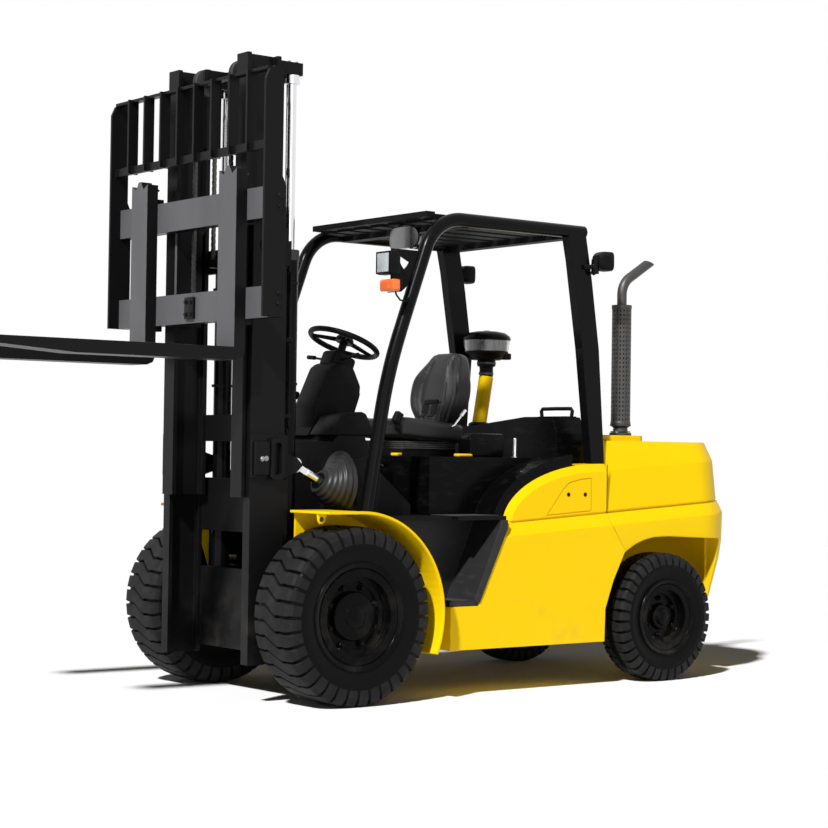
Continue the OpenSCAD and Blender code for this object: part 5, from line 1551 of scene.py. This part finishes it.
@dataclass
class Stack(Assembly):
    """The exhaust stack with its perforated guard, standing for the plain pipes."""

    x: float = -1940.0
    y: float = 420.0
    base_z: float = 1296.0
    guard_z0: float = 1350.0
    guard_z1: float = 1994.0
    guard_r: float = 52.0
    pipe_r: float = 26.0
    bend_r: float = 110.0
    bend_z: float = 2050.0
    turn: float = 58.0
    tail: float = 172.0
    cells_round: int = 18
    cells_up: int = 26

    def cell(self) -> bpy.types.Mesh:
        """One cell of the guard, a curved plate with a slot through it."""
        solid = Solid()
        step_a = math.tau / self.cells_round
        step_z = (self.guard_z1 - self.guard_z0 - 40) / self.cells_up
        edge = [(-0.5, -0.5), (0, -0.5), (0.5, -0.5), (0.5, 0), (0.5, 0.5), (0, 0.5), (-0.5, 0.5), (-0.5, 0)]
        slot = [(0.16 * math.cos(math.radians(225 + 45 * k)), 0.3 * math.sin(math.radians(225 + 45 * k)))
                for k in range(8)]
        rings = []
        inner_r = self.guard_r - 2
        for points, radius in ((edge, self.guard_r), (slot, self.guard_r), (slot, inner_r), (edge, inner_r)):
            rings.append([solid.bm.verts.new(Vector((
                radius * math.cos(u * step_a), radius * math.sin(u * step_a), v * step_z)) / 1000)
                for u, v in points])
        solid.bridge(rings)
        return solid.mesh("guard_cell", 60.0)

    def build(self) -> None:
        """Makes the guard, pipe, bands and foot."""
        step_z = (self.guard_z1 - self.guard_z0 - 40) / self.cells_up
        ring = self.repeat.ring.run("stack_guard_ring", self.cell(), STACK, {
            "Count": self.cells_round, "Axis": Axis.Z.value,
            "Centre": tuple(at(self.x, self.y, self.guard_z0 + 20 + step_z / 2))})
        guard = self.repeat.row.run("stack_guard", ring.data.copy(), STACK, {
            "Count": self.cells_up, "Step": (0.0, 0.0, step_z / 1000)})
        bpy.data.objects.remove(ring)
        clean = bmesh.new()
        clean.from_mesh(guard.data)
        bmesh.ops.remove_doubles(clean, verts=clean.verts, dist=2e-5)
        middle = (self.guard_z0 + self.guard_z1) / 2000
        for upper in (True, False):
            rims = [e for e in clean.edges if e.is_boundary and (e.verts[0].co.z > middle) == upper]
            bmesh.ops.bridge_loops(clean, edges=rims)
        bmesh.ops.recalc_face_normals(clean, faces=clean.faces)
        clean.to_mesh(guard.data)
        clean.free()
        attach(guard, Body.CHASSIS.value)
        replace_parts(guard, "exhaust_stack")
        foot = [(0, 0), (58, 0), (59, 3), (59, 12), (54, 16), (40, 22), (38, 40), (48, 48), (56, 52),
                (56, 60), (0, 60)]
        Solid().turned(foot, at(self.x, self.y, self.base_z), UP).piece(
            "stack_foot", DARK_STEEL, Body.CHASSIS)
        bands = Solid()
        band = [(48, 0), (53, 0), (54, 2), (54, 18), (53, 20), (27, 20), (27, 17), (48, 17), (48, 0)]
        for z in (self.guard_z0, self.guard_z1 - 20):
            bands.turned(band, at(self.x, self.y, z), UP)
        bands.piece("stack_bands", STACK, Body.CHASSIS)
        self.pipe()
        bolts = [(at(self.x + 50 * math.cos(a), self.y + 50 * math.sin(a), self.base_z + 15), UP)
                 for a in (0.4, 1.97, 3.54, 5.11)]
        self.repeat.bolt_set("stack_bolts", bolts, 0.007, Body.CHASSIS)

    def pipe(self) -> None:
        """The inner pipe with its bend and open slanted mouth."""
        path = [at(self.x, self.y, z) for z in (1352, 1700, self.guard_z1, self.bend_z - 10)]
        turn = math.radians(self.turn)
        for i in range(13):
            a = turn * i / 12
            back, rise = self.bend_r * (1 - math.cos(a)), self.bend_r * math.sin(a)
            path.append(at(self.x - back, self.y, self.bend_z + rise))
        end = path[-1]
        ahead = Vector((-math.sin(turn), 0, math.cos(turn)))
        path += [end + ahead * self.tail / 2000, end + ahead * self.tail / 1000]
        solid = Solid()
        inner = path[::-1][:6]
        rings = []
        for points, radius, sign in ((path, self.pipe_r, 1), (inner, self.pipe_r - 3, -1)):
            mouth = len(points) - 1 if sign > 0 else 0
            for i, p in enumerate(points):
                aim = sign * (points[min(i + 1, len(points) - 1)] - points[max(i - 1, 0)]).normalized()
                rise = aim.cross(LEFT)
                ring = []
                for k in range(28):
                    c, s = math.cos(math.tau * k / 28), math.sin(math.tau * k / 28)
                    cut = aim * 0.02 * s if i == mouth else Vector()
                    ring.append(solid.bm.verts.new(p + radius / 1000 * (c * LEFT + s * rise) + cut))
                rings.append(ring)
        solid.skin(rings)
        solid.piece("stack_pipe", STACK, Body.CHASSIS, 50.0)


@dataclass
class AirIntake(Assembly):
    """The leaning intake pipe, its neck and the clear bowl on it, standing for the plain ones."""

    x: float = -1644.0
    y: float = -350.0
    foot_x: float = -1595.0
    foot_z: float = 1340.0
    neck_z: float = 1616.0
    bowl_z: float = 1710.0

    def pipe(self) -> None:
        """Makes the yellow pipe, its base ring, the black neck and two clamps."""
        foot, top = at(self.foot_x, self.y, self.foot_z), at(self.x, self.y, self.neck_z + 1)
        length = (top - foot).length * 1000
        profile = [(0, 8), (37, 8), (40, 10), (40, length - 3), (37, length), (0, length)]
        pipe = Solid().turned(profile, foot, top - foot, 48).piece("intake_tube", YELLOW, Body.CHASSIS)
        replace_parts(pipe, "intake_pipe")
        ring = [(0, 0), (56, 0), (58, 3), (58, 12), (50, 20), (42, 24), (0, 24)]
        Solid().turned(ring, foot, UP, 40).piece("intake_ring", PLASTIC, Body.CHASSIS)
        neck = [(0, 0), (37, 0), (38, 4), (38, 50), (40, 56), (50, 58), (51, 62), (51, 88), (46, 94), (0, 94)]
        Solid().turned(neck, top, UP, 48).piece("intake_neck", PLASTIC, Body.CHASSIS)
        clamps = Solid()
        for z, r in ((self.neck_z + 12, 38), (self.neck_z + 70, 51)):
            band = [(r, 0), (r + 2.5, 0), (r + 2.5, 11), (r, 11), (r, 0)]
            clamps.turned(band, at(self.x, self.y, z), UP)
            x = self.x + r
            clamps.block(at(x - 2, self.y - 8, z - 2), at(x + 12, self.y + 8, z + 13), 0.002)
        clamps.piece("intake_clamps", DARK_STEEL, Body.CHASSIS)

    def build(self) -> None:
        """Makes the pipe, the clear bowl, its vanes and the cap."""
        self.pipe()
        centre = at(self.x, self.y, self.bowl_z)
        base = [(0, 0), (80, 0), (88, 4), (102, 30), (116, 38), (121, 42), (121, 48), (0, 48)]
        lower = Solid().turned(base, centre, UP, 56)
        lower.block(centre + Vector((-0.122, 0.02, 0.004)), centre + Vector((-0.06, 0.074, 0.04)), 0.008)
        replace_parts(lower.piece("bowl_base", PLASTIC, Body.CHASSIS), "precleaner_bowl")
        wall = [(117, 44), (120, 45), (126, 76), (131, 112), (128, 112), (123, 76)]
        clear = Solid().turned(wall + [wall[0]], centre, UP, 64)
        clear.piece("bowl_wall", CLEAR, Body.CHASSIS)
        foot = [Vector((x, y, 48)) / 1000 for x, y in ((60, 0), (112, 12), (112, 15), (60, 3))]
        vane = Solid().prism(foot, UP * 0.064)
        vanes = self.repeat.ring.run("bowl_vanes", vane.mesh("vane"), IRON, {
            "Count": 20, "Axis": Axis.Z.value, "Centre": tuple(centre)})
        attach(vanes, Body.CHASSIS.value)
        Solid().turned([(0, 46), (62, 46), (60, 80), (62, 112), (0, 112)], centre, UP, 40).piece(
            "bowl_core", IRON, Body.CHASSIS)
        cap = [(0, 108), (131, 108), (134, 111), (134, 120), (128, 132), (104, 150), (60, 159), (18, 161),
               (16, 164), (0, 164)]
        Solid().turned(cap, centre, UP, 64).piece("bowl_cap", HOOD_PLASTIC, Body.CHASSIS)


@dataclass
class Cab(Assembly):
    """What the driver uses: wheel, column, levers, dash, pedals and mats."""

    wheel: Point = (-408.0, 0.0, 1737.0)
    lean: float = 22.0
    dash_z: float = 1266.0

    def steering(self) -> None:
        """The wheel's boss and spokes, the switch stalks and the column's covers."""
        a = math.radians(self.lean)
        axis = Vector((-math.sin(a), 0, math.cos(a)))
        middle = at(*self.wheel)
        boss = [(0, 36), (30, 36), (40, 30), (46, 20), (46, 8), (0, 8)]
        Solid().turned(boss, middle, axis).piece("wheel_boss", PLASTIC, Body.WHEEL)
        side = Vector((math.cos(a), 0, math.sin(a)))
        spokes = Solid()
        for turn in (60, 180, 300):
            spin = Matrix.Rotation(math.radians(turn), 3, axis)
            out, across = spin @ side, spin @ LEFT
            ring = [middle + out * r / 1000 + across * w / 1000 + axis * h / 1000
                    for r, w, h in ((30, -22, 10), (176, -13, 6), (176, 13, 6), (30, 22, 10))]
            spokes.prism(ring, axis * 0.009, 0.003)
        spokes.piece("wheel_spokes", PLASTIC, Body.WHEEL)
        root = middle - axis * 0.1
        for sign, word in BOTH_SIDES:
            path = [root + Vector((x, sign * y, z))
                    for x, y, z in ((0.01, 0.03, 0), (0.02, 0.11, 0.012), (0.026, 0.175, 0.02))]
            stalk = Solid().tube(path, 0.006, 10)
            tip = path[-1]
            grip = [tip - Vector((0.001, sign * 0.012, 0)), tip + Vector((0.004, sign * 0.04, 0.004))]
            stalk.tube(grip, 0.011, 12)
            stalk.piece(f"column_stalk_{word}", PLASTIC, Body.CHASSIS)
        head = Solid().block(root - Vector((0.07, 0.062, 0.05)), root + Vector((0.07, 0.062, 0.035)), 0.02,
                             Matrix.Rotation(-a, 3, "Y"))
        head.piece("column_head", PLASTIC, Body.CHASSIS)
        outline = [(-163, 1268), (-172, 1420), (-262, 1612), (-300, 1634), (-380, 1630), (-412, 1606),
                   (-458, 1512), (-440, 1462), (-356, 1300), (-346, 1268)]
        Solid().plate(outline, -96, 192, 0.022).piece("column_shroud", PLASTIC, Body.CHASSIS)
        key = [(0, 0), (15, 0), (16, 4), (12, 8), (6, 9), (6, 26), (0, 26)]
        Solid().turned(key, at(-446, 52, 1484), Vector((-0.9, 0.1, -0.3))).piece(
            "key_switch", STEEL, Body.CHASSIS)

    def dash(self) -> None:
        """The instrument panel, lever console and levers on the dash."""
        z = self.dash_z
        outline = [(-160, z), (-330, z), (-330, z + 18), (-280, z + 62), (-200, z + 56), (-160, z + 20)]
        Solid().plate(outline, -278, 190, 0.008).piece("lever_console", PLASTIC, Body.CHASSIS)
        for i in range(3):
            y = -250 + 60 * i
            lever = Solid().tube([at(-270, y, 1318), at(-276, y, 1390), at(-292, y, 1462)], 0.007, 10)
            lever.piece(f"lever_rod_{i + 1}", CHROME, Body.CHASSIS)
            gaiter = [(30, 0), (26, 4), (28, 9), (20, 14), (22, 19), (13, 26), (8, 30), (0, 30)]
            Solid().turned(gaiter, at(-268, y, 1322), Vector((-0.1, 0, 1))).piece(
                f"lever_boot_{i + 1}", MAT_RUBBER, Body.CHASSIS)
            knob = [(0, 0), (8, 0), (15, 10), (17, 24), (13, 38), (0, 42)]
            Solid().turned(knob, at(-290, y, 1452), Vector((-0.2, 0, 1))).piece(
                f"lever_knob_{i + 1}", PLASTIC, Body.CHASSIS)
        hump = [(-112, z), (-185, 1364), (-322, 1386), (-346, 1376), (-394, 1290), (-394, z)]
        Solid().plate(hump, 118, 170, 0.012).piece("instrument_case", PLASTIC, Body.CHASSIS)
        dial = [(0, 2), (34, 2), (37, 0), (37, -3), (0, -3)]
        face = Solid()
        for y in (162, 244):
            face.turned(dial, at(-371, y, 1333), Vector((-0.873, 0, 0.487)), 32)
        face.piece("instrument_dials", DARK_STEEL, Body.CHASSIS)

    def pedals(self) -> None:
        """Three pedals on the floor with their arms."""
        for i, (y, wide) in enumerate(((170, 60), (60, 70), (-120, 60))):
            solid = Solid().block(at(-372, y - wide / 2, 948), at(-360, y + wide / 2, 1036), 0.004,
                                  Matrix.Rotation(math.radians(-38), 3, "Y"))
            solid.tube([at(-352, y, 985), at(-310, y, 1010), at(-250, y, 1060)], 0.009, 10)
            solid.piece(f"pedal_{i + 1}", DARK_STEEL, Body.CHASSIS)

    def mats(self) -> None:
        """Ribbed mats on the deck and the steps."""
        rib = Solid().block(at(-606, -262, 880), at(-598, 262, 885.5), 0.0015)
        self.repeat.slats("deck_mat_ribs", rib, MAT_RUBBER, 13, (0.017, 0.0, 0.0))
        for side, word in BOTH_SIDES:
            low_y, high_y = sorted((side * 452, side * 630))
            rib = Solid().block(at(-770, low_y, 464), at(-764, high_y, 469.5), 0.0015)
            self.repeat.slats(f"step_ribs_{word}", rib, MAT_RUBBER, 10, (0.0165, 0.0, 0.0))
            rib = Solid().block(at(-930, low_y, 880), at(-922, high_y - 10, 884), 0.0012)
            self.repeat.slats(f"sill_ribs_{word}", rib, MAT_RUBBER, 17, (0.0185, 0.0, 0.0))

    def build(self) -> None:
        """Makes everything in the cab."""
        self.steering()
        self.dash()
        self.pedals()
        self.mats()


@dataclass
class Bodywork(Assembly):
    """Latches, joints, mudguard stays, louvres, hood trim and the tow pin."""

    upper_y: float = 620.0
    tow_x: float = -2550.0
    fender_r: float = 484.0
    lip_y: float = 736.0
    axle_z: float = 420.0

    def latches(self, side: int, word: str) -> None:
        """The two latch holes of the access door above a side panel's belt."""
        for i, x in enumerate((-1390, -1505)):
            hole = [(0, 1.2), (7, 1.2), (9, 0.6), (11, 0.8), (11, -1), (0, -1)]
            Solid().turned(hole, at(x, side * (self.upper_y + 0.4), 985), side * LEFT, 24).piece(
                f"door_latch_{word}_{i + 1}", PLASTIC, Body.CHASSIS)

    def seams(self, side: int, word: str) -> None:
        """Dark joint between side panel and counterweight."""
        line = [at(-1659, side * 619, 1140), at(-1659, side * 619, 940), at(-1659, side * 619, 892)]
        Solid().tube(line, 0.0022, 6).piece(f"panel_joint_{word}", UNDER_BLACK, Body.CHASSIS)

    def fender_stays(self) -> None:
        """Yellow stays and rolled edges under the mudguards."""
        places = []
        for side, word in BOTH_SIDES:
            y = side * 640
            outline = [(198, 899), (140, 899), (154, 862), (166, 850), (184, 850), (194, 866)]
            Solid().plate(outline, y, side * 8, 0.002).piece(f"fender_stay_{word}", YELLOW, Body.CHASSIS)
            places.append((at(174, y + side * 8, 872), side * LEFT))
            edge = [at(196, side * self.lip_y, self.axle_z + self.fender_r)]
            for i in range(25):
                a = math.radians(90 + 113 * i / 24)
                edge.append(at(self.fender_r * math.cos(a), side * self.lip_y,
                               self.axle_z + self.fender_r * math.sin(a)))
            Solid().tube(edge, 0.0075, 8).piece(f"fender_lip_{word}", YELLOW, Body.CHASSIS)
        self.repeat.bolt_set("fender_bolts", places, 0.008, Body.CHASSIS, DARK_STEEL)

    def radiator_top(self) -> None:
        """Louvres and the grab handle on the radiator cover's sloping top."""
        top = [at(-1640, y, z) for y, z in ((-240, 1340), (190, 1385), (400, 1385), (400, 1391), (190, 1391),
                                            (-240, 1347))]
        slat = Solid().prism(top, FORWARD * 0.007, 0.001)
        self.repeat.slats("radiator_louvres", slat, PLASTIC, 5, (0.0165, 0.0, 0.0))
        bar = [at(-1600, y, z) for y, z in ((172, 1384), (166, 1420), (176, 1431), (288, 1432), (400, 1431),
                                            (410, 1420), (404, 1384))]
        handle = Solid().tube(bar, 0.01, 12)
        handle.piece("radiator_handle", PLASTIC, Body.CHASSIS)

    def hood_trim(self) -> None:
        """Latches, battery box, post, pull and seams on the seat hood."""
        for i, (x, y, turn) in enumerate(((-640, 170, 18), (-872, 398, 0))):
            latch = Solid().block(at(x - 46, y - 22, 1170), at(x + 46, y + 22, 1186), 0.006,
                                  Matrix.Rotation(math.radians(turn), 3, "Z"))
            latch.piece(f"hood_latch_{i + 1}", YELLOW, Body.HOOD)
        outline = [(-900, 1170), (-1126, 1170), (-1126, 1290), (-930, 1290), (-900, 1262)]
        Solid().plate(outline, 318, 100, 0.01).piece("hood_box", HOOD_PLASTIC, Body.HOOD)
        post = [(0, 0), (14, 0), (14, 3), (8, 6), (8, 96), (6, 100), (0, 100)]
        Solid().turned(post, at(-1213, 400, 1170), UP, 20).piece("hood_post", CHROME, Body.HOOD)
        pull = [at(-616, -70, 1120), at(-600, -66, 1124), at(-600, 66, 1124), at(-616, 70, 1120)]
        Solid().tube(pull, 0.007, 10).piece("hood_pull", DARK_STEEL, Body.HOOD)
        joint = Solid()
        joint.tube([at(-640, 451, 1150), at(-900, 451, 1150), at(-1120, 451, 1150)], 0.002, 6)
        joint.mirrored().piece("hood_joint", UNDER_BLACK, Body.HOOD)

    def rear(self) -> None:
        """Tow pin and vent slats on the counterweight."""
        pin = Solid().tube([at(self.tow_x, 0, z) for z in (470, 600, 655)], 0.0165, 20)
        pin.piece("tow_pin", STEEL, Body.CHASSIS)
        outline = [(-2600, 1142), (-2586, 1146), (-2566, 1134), (-2580, 1128)]
        slat = Solid().plate(outline, -250, 500, 0.0015)
        self.repeat.slats("rear_vent_slats", slat, UNDER_BLACK, 4, (-0.0105, 0.0, -0.034))

    def build(self) -> None:
        """Makes the bodywork's fittings on both sides."""
        for side, word in BOTH_SIDES:
            self.latches(side, word)
            self.seams(side, word)
        self.fender_stays()
        self.radiator_top()
        self.hood_trim()
        self.rear()


@dataclass
class Frame:
    """The finishes of the frame's own solids."""

    other: Finish = GUARD_BLACK
    finishes: tuple[tuple[Finish, str], ...] = (
        (YELLOW, "side_panel_left side_panel_right fenders intake_pipe"),
        (CAST_YELLOW, "counterweight"),
        (UNDER_BLACK, "frame front_axle steer_axle guard_roof knuckle_left knuckle_right"),
        (MAST_BLACK, "outer_mast inner_mast load_backrest"),
        (CARRIAGE_BLACK, "carriage_frame"),
        (FORK_BLACK, "fork_left fork_right"),
        (RIM_BLACK, "front_rim_left front_rim_right rear_rim_left rear_rim_right"),
        (PLASTIC, "deck cowl steering_column seat_base steering_wheel"),
        (STEP_PLASTIC, "steps"),
        (HOOD_PLASTIC, "radiator_cover engine_hood"),
        (CHROME, "lift_rods tilt_rods"),
        (DARK_STEEL, "chain_sheaves"),
        (MIRROR, "roof_mirror"),
        (IRON, "engine_block"),
    )

    def dress(self) -> None:
        """Gives every solid of the frame its finish."""
        known = {name: finish for finish, names in self.finishes for name in names.split()}
        for name, solid in frame["nodes"].items():
            finish = known.get(name, self.other)
            solid.data.materials.clear()
            solid.data.materials.append(finish.material())
            log.info("%s is dressed in %s", name, finish.name)


@dataclass
class Studio:
    """The camera, floor and light; a lamp has its name, aim, strength and angle in degrees."""

    eye: Point = (5595.0, 8280.0, 1176.0)
    yaw: float = 52.04
    pitch: float = -1.16
    roll: float = 0.82
    focal_pixels: float = 2022.5
    sensor: float = 36.0
    floor_size: float = 60.0
    sky_strength: float = 0.03
    key: tuple[str, Point, float, float] = ("key", (-0.65, -0.36, -0.669), 4.75, 3.0)
    fill: tuple[str, Point, float, float] = ("fill", (-0.35, -0.92, -0.1), 0.2, 25.0)

    def camera(self) -> None:
        """Sets the camera where the photograph was taken."""
        yaw, pitch, roll = (math.radians(v) for v in (self.yaw, self.pitch, self.roll))
        ahead = Vector((-math.cos(yaw) * math.cos(pitch), -math.sin(yaw) * math.cos(pitch), -math.sin(pitch)))
        level = Vector((-math.sin(yaw), math.cos(yaw), 0.0))
        rise = level.cross(ahead)
        across = math.cos(roll) * level + math.sin(roll) * rise
        upward = -math.sin(roll) * level + math.cos(roll) * rise
        data = bpy.data.cameras.new("camera")
        data.sensor_width = self.sensor
        data.lens = self.focal_pixels * self.sensor / PHOTO_PIXELS
        data.clip_start, data.clip_end = 0.1, 200.0
        made = bpy.data.objects.new("camera", data)
        turn = Matrix((across, upward, -ahead)).transposed()
        made.matrix_world = Matrix.Translation(at(*self.eye)) @ turn.to_4x4()
        bpy.context.scene.collection.objects.link(made)
        bpy.context.scene.camera = made

    def floor(self) -> None:
        """Lays the pale floor that keeps the shadow."""
        half = self.floor_size / 2
        mesh = bpy.data.meshes.new("floor")
        corners = [(-half, -half, 0), (half, -half, 0), (half, half, 0), (-half, half, 0)]
        mesh.from_pydata(corners, [], [(0, 1, 2, 3)])
        kit = Shader("floor_white")
        drift = kit.noise(0.6, 2.0)
        kit.surface({
            "Base Color": kit.mix(drift, (0.96, 0.96, 0.96), (0.98, 0.98, 0.98)),
            "Roughness": 0.9, "Specular IOR Level": 0.1,
        })
        made = bpy.data.objects.new("floor", mesh)
        mesh.materials.append(kit.material)
        bpy.context.scene.collection.objects.link(made)

    def light(self) -> None:
        """Sets the sky, the key light and a soft fill."""
        world = bpy.data.worlds.new("studio_sky")
        bpy.context.scene.world = world
        world.use_nodes = True
        tree = world.node_tree
        tree.nodes.clear()
        path = tree.nodes.new("ShaderNodeLightPath")
        seen = path.outputs["Is Camera Ray"]
        for name in ("Is Glossy Ray", "Is Transmission Ray"):
            both = tree.nodes.new("ShaderNodeMath")
            both.operation = "MAXIMUM"
            tree.links.new(seen, both.inputs[0])
            tree.links.new(path.outputs[name], both.inputs[1])
            seen = both.outputs[0]
        soft, white = tree.nodes.new("ShaderNodeBackground"), tree.nodes.new("ShaderNodeBackground")
        soft.inputs["Color"].default_value = (0.92, 0.96, 1.0, 1.0)
        soft.inputs["Strength"].default_value = self.sky_strength
        white.inputs["Color"].default_value = (1.0, 1.0, 1.0, 1.0)
        white.inputs["Strength"].default_value = 1.0
        mixed = tree.nodes.new("ShaderNodeMixShader")
        tree.links.new(seen, mixed.inputs[0])
        tree.links.new(soft.outputs[0], mixed.inputs[1])
        tree.links.new(white.outputs[0], mixed.inputs[2])
        out = tree.nodes.new("ShaderNodeOutputWorld")
        tree.links.new(mixed.outputs[0], out.inputs["Surface"])
        for name, aim, strength, angle in (self.key, self.fill):
            data = bpy.data.lights.new(name, "SUN")
            data.energy = strength
            data.angle = math.radians(angle)
            made = bpy.data.objects.new(name, data)
            made.rotation_mode = "QUATERNION"
            made.rotation_quaternion = Vector(aim).to_track_quat("-Z", "Y")
            bpy.context.scene.collection.objects.link(made)

    def build(self) -> None:
        """Sets up the whole studio."""
        self.camera()
        self.floor()
        self.light()
        bpy.context.scene.view_settings.view_transform = "Standard"


def main() -> None:
    """Builds the studio, dresses the frame and makes every piece in order."""
    logging.basicConfig(level=logging.INFO, format="%(name)s: %(message)s")
    Studio().build()
    Frame().dress()
    repeat = Repeater()
    for kind in (Wheels, ChainSet, Seat, TiltGear, MastFittings, CarriageFittings, Lamps, Stack, AirIntake,
                 Cab, Bodywork):
        kind(repeat).build()
        log.info("%s finished", kind.__name__)


if __name__ == "__main__":
    main()
